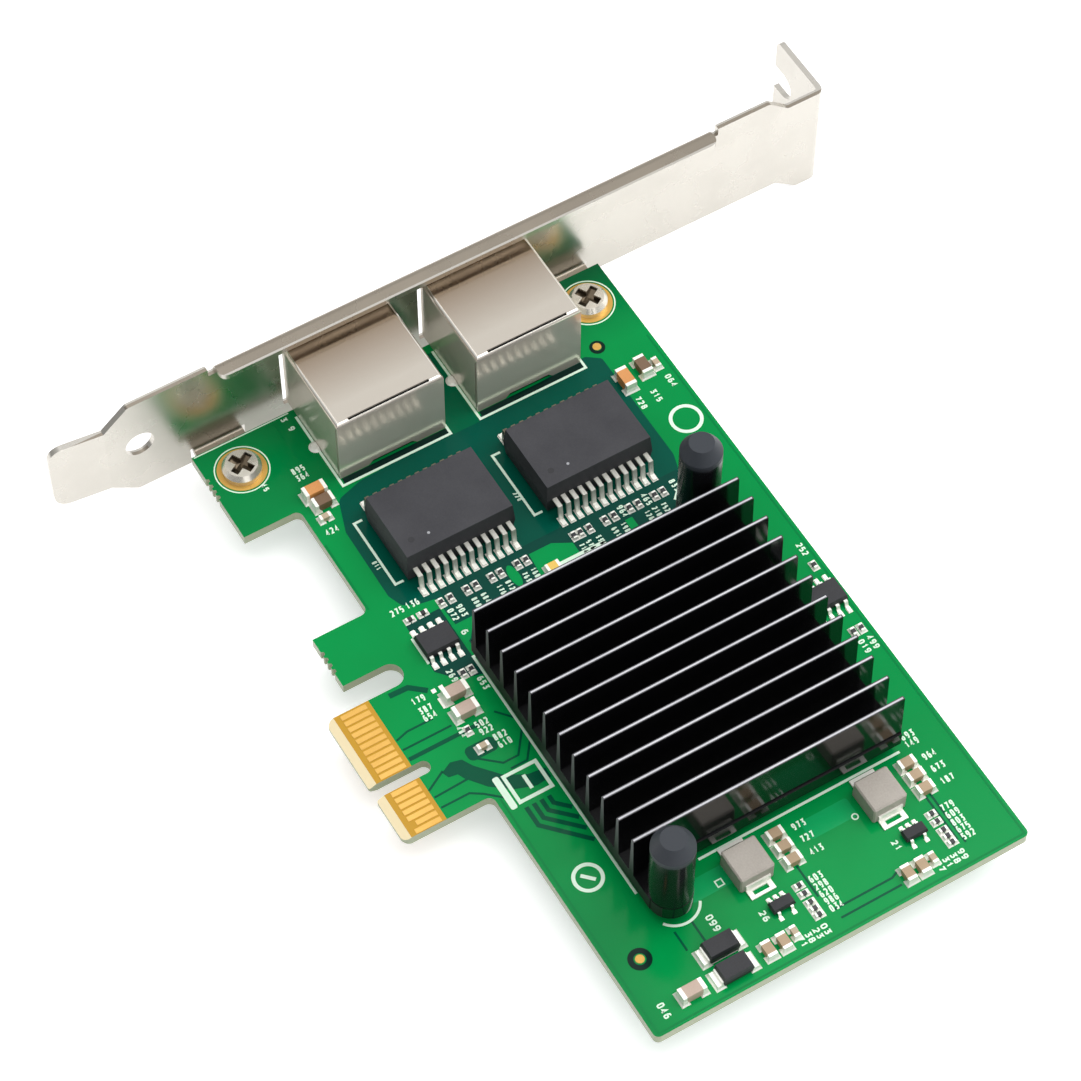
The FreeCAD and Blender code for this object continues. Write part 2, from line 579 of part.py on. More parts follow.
def bracket_ear():
    """Ear folded outward, with its open screw slot."""
    profile = bent_strip(BEND_OUTER_RADIUS, EAR_REACH, SHEET, BEND_INNER_RADIUS)
    corners = [(BRACKET_INNER_X - along, BRACKET_END_Y - up, radius) for along, up, radius in profile]
    ear = extrude_z(corners, EAR_BOTTOM_Z, EAR_TOP_Z)
    free_x = BRACKET_INNER_X - EAR_REACH
    half = EAR_SLOT_WIDTH / 2
    slot = [
        (free_x - SHEET, EAR_SLOT_Z - half, 0),
        (free_x + EAR_SLOT_DEPTH, EAR_SLOT_Z - half, half),
        (free_x + EAR_SLOT_DEPTH, EAR_SLOT_Z + half, half),
        (free_x - SHEET, EAR_SLOT_Z + half, 0),
    ]
    outline = [
        (free_x, EAR_BOTTOM_Z, EAR_CORNER_RADIUS),
        (BRACKET_INNER_X, EAR_BOTTOM_Z, 0),
        (BRACKET_INNER_X, EAR_TOP_Z, 0),
        (free_x, EAR_TOP_Z, EAR_CORNER_RADIUS),
    ]
    fold_y = BRACKET_END_Y - BEND_OUTER_RADIUS
    return ear.common(extrude_y(outline, fold_y, BRACKET_END_Y)).cut(extrude_y(slot, fold_y, BRACKET_END_Y))


def bracket_flange(y0, y1):
    """Stiffening flange folded inward along the top of the wall."""
    profile = bent_strip(BEND_OUTER_RADIUS, FLANGE_REACH, SHEET, BEND_INNER_RADIUS)
    corners = [(BRACKET_OUTER_X + along, WALL_TOP_Z - up, radius) for along, up, radius in profile]
    free_edge = BRACKET_OUTER_X + FLANGE_REACH
    outline = [
        (BRACKET_OUTER_X, y0, 0),
        (free_edge, y0, FLANGE_END_RADIUS),
        (free_edge, y1, FLANGE_END_RADIUS),
        (BRACKET_OUTER_X, y1, 0),
    ]
    return extrude_y(corners, y0, y1).common(extrude_z(outline, WALL_TOP_Z - BEND_OUTER_RADIUS, WALL_TOP_Z))


def bracket_lug(screw_y):
    """Lug folded inward under the board, with its tapped hole."""
    reach = SHEET + SCREW_FROM_BRACKET + LUG_OVERHANG
    bottom = -BOARD_THICKNESS - SHEET
    profile = bent_strip(BEND_OUTER_RADIUS, reach, SHEET, BEND_INNER_RADIUS)
    corners = [(BRACKET_OUTER_X + along, bottom + up, radius) for along, up, radius in profile]
    half = LUG_WIDTH / 2
    lug = extrude_y(corners, screw_y - half, screw_y + half)
    end_x = BRACKET_OUTER_X + reach
    outline = [
        (BRACKET_OUTER_X, screw_y - half, 0),
        (end_x, screw_y - half, LUG_CORNER_RADIUS),
        (end_x, screw_y + half, LUG_CORNER_RADIUS),
        (BRACKET_OUTER_X, screw_y + half, 0),
    ]
    top = bottom + BEND_OUTER_RADIUS
    hole = upright(SCREW_X, screw_y, bottom, top, SCREW_SHANK_RADIUS + THREAD_CLEARANCE)
    return lug.common(extrude_z(outline, bottom, top)).cut(hole)


def mounting_bracket():
    """Whole bracket: wall, tongue, ear, flange, lugs and jack windows."""
    flange_low = JACK_Y[0] - JACK_WIDTH / 2 - FLANGE_BELOW_JACKS
    flange_high = JACK_Y[-1] + JACK_WIDTH / 2 + FLANGE_ABOVE_JACKS
    wall_cuts = [
        box(BRACKET_OUTER_X, BRACKET_INNER_X, flange_low, flange_high, WALL_TOP_Z - BEND_OUTER_RADIUS, WALL_TOP_Z),
        box(BRACKET_OUTER_X, BRACKET_INNER_X, flange_low - FLANGE_RELIEF, flange_low,
            WALL_TOP_Z - FLANGE_RELIEF_DEPTH, WALL_TOP_Z),
        box(BRACKET_OUTER_X, BRACKET_INNER_X, flange_high, flange_high + FLANGE_RELIEF,
            WALL_TOP_Z - FLANGE_RELIEF_DEPTH, WALL_TOP_Z),
    ]
    for jack_y in JACK_Y:
        half = JACK_WIDTH / 2 + WINDOW_CLEARANCE
        window = [
            (jack_y - half, WINDOW_BOTTOM_Z, WINDOW_RADIUS),
            (jack_y + half, WINDOW_BOTTOM_Z, WINDOW_RADIUS),
            (jack_y + half, WINDOW_TOP_Z, WINDOW_RADIUS),
            (jack_y - half, WINDOW_TOP_Z, WINDOW_RADIUS),
        ]
        wall_cuts.append(extrude_x(window, BRACKET_OUTER_X, BRACKET_INNER_X))
    lug_fold_z = -BOARD_THICKNESS - SHEET + BEND_OUTER_RADIUS
    for _, screw_y in SCREWS:
        half = LUG_WIDTH / 2 + LUG_RELIEF
        wall_cuts.append(box(BRACKET_OUTER_X, BRACKET_INNER_X, screw_y - half, screw_y + half,
                             WALL_BOTTOM_Z, lug_fold_z))
    hole_y = BRACKET_TIP_Y + TONGUE_HOLE_FROM_TIP
    tongue_hole = Part.makeCylinder(TONGUE_HOLE_RADIUS, SHEET, Vec(BRACKET_OUTER_X, hole_y, TONGUE_HOLE_Z),
                                    Vec(1, 0, 0))
    wall = bracket_wall().cut(wall_cuts + [tongue_hole])
    folds = [bracket_tongue(), bracket_ear(), bracket_flange(flange_low, flange_high)]
    folds += [bracket_lug(screw_y) for _, screw_y in SCREWS]
    return fused([wall] + folds)


def bracket_screw(x, y):
    """Pan-head screw with a cross recess, standing on its pad."""
    seat = PAD_THICKNESS
    top = seat + SCREW_HEAD_HEIGHT
    rim = seat + SCREW_RIM_HEIGHT
    profile = Part.makePolygon([
        Vec(0, 0, seat), Vec(SCREW_HEAD_RADIUS, 0, seat), Vec(SCREW_HEAD_RADIUS, 0, rim),
        Vec(SCREW_CROWN_RADIUS, 0, top), Vec(0, 0, top), Vec(0, 0, seat),
    ])
    head = Part.Face(profile).revolve(Vec(0, 0, 0), Vec(0, 0, 1), 360)
    half_length = CROSS_LENGTH / 2
    slot_corners = [(-half_length, top + CROSS_WIDTH, 0), (-half_length, rim, 0),
                    (-CROSS_WIDTH / 2, top - CROSS_DEPTH, 0), (CROSS_WIDTH / 2, top - CROSS_DEPTH, 0),
                    (half_length, rim, 0), (half_length, top + CROSS_WIDTH, 0)]
    slot = extrude_y(slot_corners, -CROSS_WIDTH / 2, CROSS_WIDTH / 2)
    other = slot.copy()
    other.rotate(Vec(0, 0, 0), Vec(0, 0, 1), 90)
    shank = upright(0, 0, seat - SCREW_LENGTH, seat, SCREW_SHANK_RADIUS)
    screw = fused([head.cut([slot, other]), shank])
    screw.rotate(Vec(0, 0, 0), Vec(0, 0, 1), 30)
    screw.translate(Vec(x, y, 0))
    return screw


# ---------------------------------------------------------------- jacks
def jack_pin_places(jack_y):
    """Two staggered rows of signal pins under a jack."""
    places = []
    for i in range(WIRE_COUNT):
        row = i % 2
        places.append((JACK_REAR_X - SIGNAL_PIN_FROM_REAR - row * SIGNAL_PIN_ROW_SPACING,
                       jack_y + wire_offset(i)))
    return places


def wire_offset(i):
    """Sideways place of one contact wire."""
    return (i - (WIRE_COUNT - 1) / 2) * WIRE_PITCH


def plug_cavity(jack_y, x0, x1, margin):
    """Stepped opening for plug and latch, grown by a margin all round."""
    latch_z = PLUG_BOTTOM_Z + PLUG_HEIGHT
    key_z = latch_z + LATCH_HEIGHT
    top_z = key_z + LATCH_KEY_HEIGHT
    half = PLUG_WIDTH / 2 + margin
    latch = LATCH_WIDTH / 2 + margin
    key = LATCH_KEY_WIDTH / 2 + margin
    steps = [(half, latch_z), (latch, key_z), (key, top_z)]
    right = [(half, PLUG_BOTTOM_Z - margin)]
    for i, (width, z) in enumerate(steps):
        right.append((width, z + margin))
        if i + 1 < len(steps):
            right.append((steps[i + 1][0], z + margin))
    corners = [(jack_y + y, z, 0) for y, z in right] + [(jack_y - y, z, 0) for y, z in right[::-1]]
    return extrude_x(corners, x0, x1)


def port_shell(jack_y):
    """Folded sheet shell of one jack, open below, with its ground tabs."""
    half = JACK_WIDTH / 2
    outer = box(JACK_FRONT_X, JACK_REAR_X, jack_y - half, jack_y + half, 0, JACK_HEIGHT)
    long_edges = [e for e in outer.Edges
                  if e.BoundBox.ZMin > JACK_HEIGHT - SHELL_SHEET and e.BoundBox.XMax > JACK_FRONT_X + SHELL_SHEET]
    outer = outer.makeFillet(SHELL_EDGE_RADIUS, long_edges)
    inner = box(JACK_FRONT_X + SHELL_SHEET, JACK_REAR_X - SHELL_SHEET, jack_y - half + SHELL_SHEET,
                jack_y + half - SHELL_SHEET, 0, JACK_HEIGHT - SHELL_SHEET)
    inner_edges = [e for e in inner.Edges
                   if e.BoundBox.ZMin > JACK_HEIGHT - 2 * SHELL_SHEET and e.BoundBox.XMax > JACK_FRONT_X + 1]
    inner = inner.makeFillet(SHELL_EDGE_RADIUS - SHELL_SHEET, inner_edges)
    slot_half = REAR_SLOT_LENGTH / 2
    cuts = [inner, plug_cavity(jack_y, JACK_FRONT_X, JACK_FRONT_X + SHELL_SHEET, FACE_OPENING_MARGIN)]
    slot_edge = JACK_REAR_X - REAR_SLOT_SETBACK
    cuts.append(box(slot_edge - REAR_SLOT_WIDTH, slot_edge, jack_y - slot_half, jack_y + slot_half,
                    JACK_HEIGHT - 2 * SHELL_SHEET, JACK_HEIGHT))
    notch_half = REAR_NOTCH_WIDTH / 2
    notch = [
        (jack_y - notch_half, 0, 0),
        (jack_y - notch_half + REAR_NOTCH_HEIGHT, REAR_NOTCH_HEIGHT, 0),
        (jack_y + notch_half - REAR_NOTCH_HEIGHT, REAR_NOTCH_HEIGHT, 0),
        (jack_y + notch_half, 0, 0),
    ]
    cuts.append(extrude_x(notch, JACK_REAR_X - SHELL_SHEET, JACK_REAR_X))
    slit_end = JACK_REAR_X - SHELL_SHEET
    for side in (-1, 1):
        low, high = sorted((jack_y + side * half, jack_y + side * (half - SHELL_SHEET)))
        cuts.append(box(slit_end - CORNER_RELIEF, slit_end, low, high, 0, CORNER_RELIEF_START_Z))
    tabs = []
    for side in (-1, 1):
        low, high = sorted((jack_y + side * half, jack_y + side * (half - SHELL_SHEET)))
        tabs.append(box(GROUND_TAB_X - GROUND_TAB_WIDTH / 2, GROUND_TAB_X + GROUND_TAB_WIDTH / 2, low, high,
                        -BOARD_THICKNESS - GROUND_TAB_BELOW_BOARD, SHELL_SHEET))
    return fused([outer.cut(cuts)] + tabs)


def port_housing(jack_y):
    """Moulded insert of one jack: plug cavity and the comb of grooves under the wires."""
    half = HOUSING_WIDTH / 2
    body = box(HOUSING_FRONT_X, HOUSING_REAR_X, jack_y - half, jack_y + half, 0, HOUSING_TOP_Z)
    body_edges = [e for e in body.Edges
                  if e.BoundBox.ZMin > HOUSING_TOP_Z - SHELL_SHEET and e.BoundBox.XMax > HOUSING_FRONT_X + 1]
    body = body.makeChamfer(SHELL_EDGE_RADIUS - SHELL_SHEET, body_edges)
    cavity = plug_cavity(jack_y, HOUSING_FRONT_X, HOUSING_FRONT_X + PLUG_DEPTH, 0)
    groove_half = WIRE_THICKNESS / 2 + SHELL_TO_HOUSING
    cuts = [cavity]
    for i in range(WIRE_COUNT):
        y = jack_y + wire_offset(i)
        cuts.append(box(HOUSING_FRONT_X + WIRE_ROOT_INSET, HOUSING_FRONT_X + PLUG_DEPTH, y - groove_half,
                        y + groove_half, PLUG_BOTTOM_Z - WIRE_GROOVE, PLUG_BOTTOM_Z))
    return body.cut(cuts)


def port_contacts(jack_y):
    """Sprung wires in the cavity and the pins that go through the board."""
    root_x = HOUSING_FRONT_X + WIRE_ROOT_INSET
    lie_z = PLUG_BOTTOM_Z - WIRE_GROOVE + WIRE_THICKNESS / 2
    path = [
        (root_x + WIRE_THICKNESS, lie_z),
        (root_x + WIRE_THICKNESS * 3, lie_z),
        (root_x + WIRE_RUN, lie_z + WIRE_GROOVE + WIRE_RISE),
        (HOUSING_FRONT_X + PLUG_DEPTH, lie_z + WIRE_GROOVE + WIRE_RISE),
    ]
    outline = ribbon(path, WIRE_THICKNESS)
    wires = []
    for i in range(WIRE_COUNT):
        y = jack_y + wire_offset(i)
        wires.append(extrude_y(outline, y - WIRE_THICKNESS / 2, y + WIRE_THICKNESS / 2))
    bottom = -BOARD_THICKNESS - SIGNAL_PIN_BELOW_BOARD
    return wires + [square_post(x, y, bottom, 0, SIGNAL_PIN_WIDTH / 2) for x, y in jack_pin_places(jack_y)]


def shell_solder():
    """Solder beads beside the shells' ground tabs."""
    beads = []
    for jack_y in JACK_Y:
        side_y = jack_y - JACK_WIDTH / 2
        bead = Part.makeCone(SOLDER_RADIUS, SOLDER_RADIUS * 0.6, SOLDER_HEIGHT,
                             Vec(GROUND_TAB_X, side_y - SOLDER_SETOUT, 0))
        beads.append(bead.cut(box(GROUND_TAB_X - SOLDER_RADIUS, GROUND_TAB_X + SOLDER_RADIUS,
                                  side_y - SOLDER_GAP, side_y + SOLDER_RADIUS, 0, SOLDER_HEIGHT)))
    return beads


# ---------------------------------------------------------------- leads and moulded bodies
def gull_wings(centre, half_width, count, pitch, width, thickness, shoulder_z, shoulder_reach, foot_reach):
    """Leads down both sides of a package whose sides face -X and +X."""
    path = [
        (0, shoulder_z),
        (shoulder_reach, shoulder_z),
        (shoulder_reach + thickness, thickness / 2),
        (foot_reach, thickness / 2),
    ]
    leads = []
    for side in (-1, 1):
        corners = [(centre[0] + side * (half_width + x), z, r) for x, z, r in ribbon(path, thickness)]
        for i in range(count):
            y = centre[1] + (i - (count - 1) / 2) * pitch
            leads.append(extrude_y(corners, y - width / 2, y + width / 2))
    return leads


def moulded_body(centre, width, length, bottom_z, waist_z, top_z, draft):
    """Package body whose sides slant inward above and below the waist at the leads."""
    def level(z, inset):
        x = width / 2 - inset
        y = length / 2 - inset
        corners = [Vec(-x, -y, z), Vec(x, -y, z), Vec(x, y, z), Vec(-x, y, z), Vec(-x, -y, z)]
        return Part.makePolygon(corners)

    lower = Part.makeLoft([level(bottom_z, draft), level(waist_z, 0)], True, True)
    upper = Part.makeLoft([level(waist_z, 0), level(top_z, draft)], True, True)
    body = fused([lower, upper])
    body.translate(Vec(centre[0], centre[1], 0))
    return body


def transformer_body(y):
    """Moulded transformer block."""
    return moulded_body((TRANSFORMER_X, y), TRANSFORMER_WIDTH, TRANSFORMER_LENGTH, TRANSFORMER_BOTTOM_Z,
                        TRANSFORMER_SHOULDER_Z, TRANSFORMER_TOP_Z, TRANSFORMER_DRAFT)


def transformer_leads(y):
    """Both rows of a transformer's leads."""
    return gull_wings((TRANSFORMER_X, y), TRANSFORMER_WIDTH / 2, TRANSFORMER_LEAD_COUNT, TRANSFORMER_LEAD_PITCH,
                      TRANSFORMER_LEAD_WIDTH, TRANSFORMER_LEAD_THICKNESS, TRANSFORMER_SHOULDER_Z,
                      TRANSFORMER_SHOULDER_REACH, TRANSFORMER_FOOT_REACH)


def soic_body(centre):
    """Body of an eight-lead package."""
    return moulded_body(centre, SOIC_WIDTH, SOIC_LENGTH, SOIC_STANDOFF, SOIC_SHOULDER_Z, SOIC_TOP_Z, MOULD_DRAFT)


def soic_leads(centre):
    """Leads of an eight-lead package."""
    return gull_wings(centre, SOIC_WIDTH / 2, SOIC_LEAD_COUNT, SOIC_PITCH, SOIC_LEAD_WIDTH, SOIC_LEAD_THICKNESS,
                      SOIC_SHOULDER_Z, SOIC_SHOULDER_REACH, SOIC_FOOT_REACH)


def sot_body(centre):
    """Body of a small regulator."""
    return moulded_body(centre, SOT_WIDTH, SOT_LENGTH, SOIC_STANDOFF, SOT_SHOULDER_Z, SOT_TOP_Z, MOULD_DRAFT)


def sot_leads(centre):
    """Leads of a small regulator, which has no middle lead on its far side."""
    leads = gull_wings(centre, SOT_WIDTH / 2, SOT_LEAD_COUNT, SOT_PITCH, SOT_LEAD_WIDTH, SOT_LEAD_THICKNESS,
                       SOT_SHOULDER_Z, SOT_SHOULDER_REACH, SOT_FOOT_REACH)
    del leads[SOT_LEAD_COUNT + SOT_LEAD_COUNT // 2]
    return leads


def inductor_body(centre):
    """Square moulded inductor with chamfered top."""
    half = INDUCTOR_SIDE / 2
    body = box(centre[0] - half, centre[0] + half, centre[1] - half, centre[1] + half,
               INDUCTOR_STANDOFF, INDUCTOR_TOP_Z)
    edges = [e for e in body.Edges if e.BoundBox.ZMin > INDUCTOR_TOP_Z - INDUCTOR_STANDOFF
             or e.BoundBox.ZMax - e.BoundBox.ZMin > INDUCTOR_STANDOFF]
    return body.makeChamfer(INDUCTOR_CHAMFER, edges)


def inductor_terminals(centre):
    """Metal straps on the inductor's two ends."""
    half = INDUCTOR_SIDE / 2
    half_width = INDUCTOR_TERMINAL_WIDTH / 2
    straps = []
    slot_length, slot_width = INDUCTOR_FOOT_SLOT
    slot_start = half + 2 * INDUCTOR_TERMINAL_THICKNESS
    for side in (-1, 1):
        corners = [
            (centre[0] + side * half, 0, 0),
            (centre[0] + side * half, INDUCTOR_TERMINAL_HEIGHT, 0),
            (centre[0] + side * (half + INDUCTOR_TERMINAL_THICKNESS), INDUCTOR_TERMINAL_HEIGHT, 0),
            (centre[0] + side * (half + INDUCTOR_TERMINAL_THICKNESS), INDUCTOR_TERMINAL_THICKNESS, 0),
            (centre[0] + side * (half + INDUCTOR_FOOT_REACH), INDUCTOR_TERMINAL_THICKNESS, 0),
            (centre[0] + side * (half + INDUCTOR_FOOT_REACH), 0, 0),
        ]
        strap = extrude_y(corners, centre[1] - half_width, centre[1] + half_width)
        low, high = sorted((centre[0] + side * slot_start, centre[0] + side * (slot_start + slot_width)))
        straps.append(strap.cut(box(low, high, centre[1] - slot_length / 2, centre[1] + slot_length / 2,
                                    0, INDUCTOR_TERMINAL_THICKNESS)))
    return straps


def diode_body(centre):
    """Moulded diode lying along Y."""
    return moulded_body(centre, DIODE_WIDTH, DIODE_LENGTH, DIODE_STANDOFF, DIODE_STRAP_HEIGHT, DIODE_TOP_Z,
                        MOULD_DRAFT)


def diode_straps(centre):
    """Bent metal ends of a diode, down its two ends to a foot on the board."""
    half = DIODE_STRAP_WIDTH / 2
    straps = []
    for side in (-1, 1):
        end = centre[1] + side * DIODE_LENGTH / 2
        corners = [
            (end, 0, 0),
            (end, DIODE_STRAP_HEIGHT, 0),
            (end + side * DIODE_STRAP_THICKNESS, DIODE_STRAP_HEIGHT, 0),
            (end + side * DIODE_STRAP_THICKNESS, DIODE_STRAP_THICKNESS, 0),
            (end + side * DIODE_FOOT_REACH, DIODE_STRAP_THICKNESS, 0),
            (end + side * DIODE_FOOT_REACH, 0, 0),
        ]
        straps.append(extrude_x(corners, centre[0] - half, centre[0] + half))
    return straps


def chip_part(place, size):
    """Body and two metal ends of a rectangular chip part."""
    x, y, turn = place
    length, width, height, end = size
    half = width / 2
    body = box(end - length / 2, length / 2 - end, -half, half, 0, height)
    ends = [box(-length / 2, end - length / 2, -half, half, 0, height),
            box(length / 2 - end, length / 2, -half, half, 0, height)]
    for piece in [body] + ends:
        piece.rotate(Vec(0, 0, 0), Vec(0, 0, 1), turn)
        piece.translate(Vec(x, y, 0))
    return body, ends


# ---------------------------------------------------------------- heat sink and push pins
def heat_sink():
    """Base plate, tapered fins and the two lugs round the push pins."""
    pieces = [box(SINK_NEAR_X, SINK_FAR_X, SINK_LOW_Y, SINK_HIGH_Y, SINK_BOTTOM_Z, BASE_TOP_Z)]
    for (x, y), side in zip(PUSH_PINS, (-1, 1)):
        base_x = x - side * PIN_OUTBOARD
        low_x, high_x = sorted((x, base_x - side * FIN_ROOT))
        pieces.append(upright(x, y, SINK_BOTTOM_Z, BASE_TOP_Z, LUG_RADIUS))
        pieces.append(box(low_x, high_x, y - LUG_RADIUS if side < 0 else y - PIN_INBOARD,
                          y + PIN_INBOARD if side < 0 else y + LUG_RADIUS, SINK_BOTTOM_Z, BASE_TOP_Z))
    fin_count = int((HEAT_SINK_WIDTH - FIN_ROOT) / FIN_PITCH) + 1
    for i in range(fin_count):
        x = SINK_X + (i - (fin_count - 1) / 2) * FIN_PITCH
        profile = [
            (x - FIN_ROOT / 2, BASE_TOP_Z, 0),
            (x + FIN_ROOT / 2, BASE_TOP_Z, 0),
            (x + FIN_TIP / 2, HEAT_SINK_TOP_Z, 0),
            (x - FIN_TIP / 2, HEAT_SINK_TOP_Z, 0),
        ]
        pieces.append(extrude_y(profile, SINK_LOW_Y, SINK_HIGH_Y))
    sink = fused(pieces)
    return sink.cut([upright(x, y, SINK_BOTTOM_Z, BASE_TOP_Z, PIN_HOLE_RADIUS) for x, y in PUSH_PINS])


def push_pin(x, y):
    """Capped push pin on a split leg, with barbs below the board."""
    cap_top = BASE_TOP_Z + PIN_CAP_HEIGHT
    barb = -BOARD_THICKNESS - PIN_BARB_GAP
    leg_half = PIN_LEG_WIDTH / 2
    cap_profile = Part.makePolygon([
        Vec(0, 0, BASE_TOP_Z), Vec(PIN_CAP_RADIUS, 0, BASE_TOP_Z), Vec(PIN_CAP_RADIUS, 0, cap_top - PIN_CROWN_HEIGHT),
        Vec(PIN_CROWN_RADIUS, 0, cap_top), Vec(0, 0, cap_top), Vec(0, 0, BASE_TOP_Z),
    ])
    cap = Part.Face(cap_profile).revolve(Vec(0, 0, 0), Vec(0, 0, 1), 360)
    leg_profile = [
        (-leg_half, BASE_TOP_Z, 0), (-leg_half, barb, 0), (-PIN_BARB_WIDTH / 2, barb, 0),
        (-PIN_TIP_WIDTH / 2, barb - PIN_TIP_LENGTH, 0), (PIN_TIP_WIDTH / 2, barb - PIN_TIP_LENGTH, 0),
        (PIN_BARB_WIDTH / 2, barb, 0), (leg_half, barb, 0), (leg_half, BASE_TOP_Z, 0),
    ]
    leg = extrude_y(leg_profile, -leg_half, leg_half)
    split = box(-PIN_SPLIT / 2, PIN_SPLIT / 2, -leg_half, leg_half, barb - PIN_TIP_LENGTH, 0)
    pin = fused([cap, leg.cut(split)])
    pin.translate(Vec(x, y, 0))
    return pin


def controller_chip():
    """Controller package under the heat sink."""
    half = CHIP_SIZE / 2
    return box(SINK_X - half, SINK_X + half, SINK_Y - half, SINK_Y + half, 0, CHIP_HEIGHT)


def thermal_pad():
    """Soft pad between controller and heat sink."""
    half = CHIP_SIZE / 2 - THERMAL_PAD_MARGIN
    return box(SINK_X - half, SINK_X + half, SINK_Y - half, SINK_Y + half, CHIP_HEIGHT, SINK_BOTTOM_Z)


def save_chip_parts():
    """Chip parts by kind: their bodies in one node each, all capacitor ends and resistor ends in two more."""
    capacitor_kinds = {
        "tall_capacitor_bodies": [(TALL_CAPACITORS, TALL_CHIP)],
        "large_capacitor_bodies": [(LARGE_CAPACITORS, LARGE_CHIP)],
        "medium_capacitor_bodies": [(WIDE_CAPACITORS, WIDE_CHIP), (MEDIUM_CAPACITORS, MEDIUM_CHIP)],
        "small_capacitor_bodies": [(SMALL_CAPACITORS, SMALL_CHIP)],
    }
    capacitor_ends = []
    for node, kinds in capacitor_kinds.items():
        parts = [chip_part(place, size) for places, size in kinds for place in places]
        save(node, [body for body, _ in parts])
        for _, ends in parts:
            capacitor_ends += ends
    save("capacitor_ends", capacitor_ends)
    resistors = [chip_part(place, TINY_CHIP) for place in RESISTORS]
    save("resistor_bodies", [body for body, _ in resistors])
    resistor_ends = [end for _, ends in resistors for end in ends]
    indicator, indicator_ends = chip_part(INDICATOR, INDICATOR_CHIP)
    save("indicator_body", [indicator])
    save("resistor_ends", resistor_ends + indicator_ends)


def main():
    """Build every node."""
    os.makedirs("parts", exist_ok=True)
    save("circuit_board", [circuit_board()])
    save("edge_contacts", edge_contacts())
    save("screw_pads", screw_pads())
    save("fiducials", [upright(x, y, 0, PAD_THICKNESS, FIDUCIAL_RADIUS) for x, y in FIDUCIALS])
    save("mounting_bracket", [mounting_bracket()])
    save("bracket_screws", [bracket_screw(x, y) for x, y in SCREWS])
    for number, (jack_y, transformer_y) in enumerate(zip(JACK_Y, TRANSFORMER_Y), 1):
        save("port_shell_%d" % number, [port_shell(jack_y)])
        save("port_housing_%d" % number, [port_housing(jack_y)])
        save("port_contacts_%d" % number, port_contacts(jack_y))
        save("transformer_body_%d" % number, [transformer_body(transformer_y)])
        save("transformer_leads_%d" % number, transformer_leads(transformer_y))
    save("shell_solder", shell_solder())
    save("heat_sink", [heat_sink()])
    for number, (x, y) in enumerate(PUSH_PINS, 1):
        save("push_pin_%d" % number, [push_pin(x, y)])
    save("controller_chip", [controller_chip()])
    save("thermal_pad", [thermal_pad()])
    save("memory_chip", [soic_body(MEMORY_CHIP)])
    save("memory_chip_leads", soic_leads(MEMORY_CHIP))
    save("edge_chip", [soic_body(EDGE_CHIP)])
    save("edge_chip_leads", soic_leads(EDGE_CHIP))
    save("inductor_bodies", [inductor_body(centre) for centre in INDUCTORS])
    save("inductor_terminals", [strap for centre in INDUCTORS for strap in inductor_terminals(centre)])
    save("regulator_bodies", [sot_body(centre) for centre in REGULATORS])
    save("regulator_leads", [lead for centre in REGULATORS for lead in sot_leads(centre)])
    save("diode_bodies", [diode_body(centre) for centre in DIODES])
    save("diode_straps", [strap for centre in DIODES for strap in diode_straps(centre)])
    save_chip_parts()


main()
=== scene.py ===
"""Looks of a network interface card: finishes, board artwork, solder, stage and camera."""
import json
import logging
import math
import random
from dataclasses import dataclass
from enum import Enum
from typing import Iterable, Sequence, Union

import bmesh
import bpy
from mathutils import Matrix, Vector


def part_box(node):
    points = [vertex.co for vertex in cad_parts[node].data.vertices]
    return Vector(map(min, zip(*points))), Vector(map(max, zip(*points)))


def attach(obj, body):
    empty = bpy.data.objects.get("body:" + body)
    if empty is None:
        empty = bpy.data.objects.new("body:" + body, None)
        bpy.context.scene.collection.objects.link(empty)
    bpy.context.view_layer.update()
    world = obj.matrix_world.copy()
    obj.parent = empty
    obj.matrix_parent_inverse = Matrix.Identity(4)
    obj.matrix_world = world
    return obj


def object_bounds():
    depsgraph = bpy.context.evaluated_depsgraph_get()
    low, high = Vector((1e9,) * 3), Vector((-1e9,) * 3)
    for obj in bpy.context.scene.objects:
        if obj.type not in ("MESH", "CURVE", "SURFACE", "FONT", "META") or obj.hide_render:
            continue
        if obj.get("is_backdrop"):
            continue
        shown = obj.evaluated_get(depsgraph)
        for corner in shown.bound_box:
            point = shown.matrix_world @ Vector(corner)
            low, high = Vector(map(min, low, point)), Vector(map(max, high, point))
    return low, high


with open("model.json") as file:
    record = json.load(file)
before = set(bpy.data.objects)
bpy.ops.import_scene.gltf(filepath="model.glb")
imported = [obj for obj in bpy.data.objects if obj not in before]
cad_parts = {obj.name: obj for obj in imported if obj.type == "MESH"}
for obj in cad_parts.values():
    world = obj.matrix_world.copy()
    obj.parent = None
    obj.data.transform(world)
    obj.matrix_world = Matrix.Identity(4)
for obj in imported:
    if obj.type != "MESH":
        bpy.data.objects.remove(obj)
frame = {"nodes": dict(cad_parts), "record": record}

log = logging.getLogger("network_card")
Point = tuple[float, float]
Pad = tuple[float, float, float, float]
Place = tuple[float, float, float]
Colour = tuple[float, float, float]
BMesh = bmesh.types.BMesh
Material = bpy.types.Material
Socket = bpy.types.NodeSocket
Value = Union[Socket, float]
Tone = Union[Socket, Colour]

# Lengths are in millimetres unless a comment says otherwise. MM turns them into metres.
MM = 0.001
# The jacks and the transformers stand in pairs, this far apart along Y.
PORT_PITCH = 21.1
PORT_MIDDLE_Y = 38.45
# Places of the two bracket screws.
SCREW_X = -51.76
SCREW_YS = (9.35, 63.1)
# A face looks along an axis where its normal reaches further along it than this.
FACING = 0.8
# Points closer together than this, in metres, are one point.
SAME_POINT = 1e-7
# The mitre at a turn of a line is never longer than half the line's width over this.
MITRE_LIMIT = 0.5


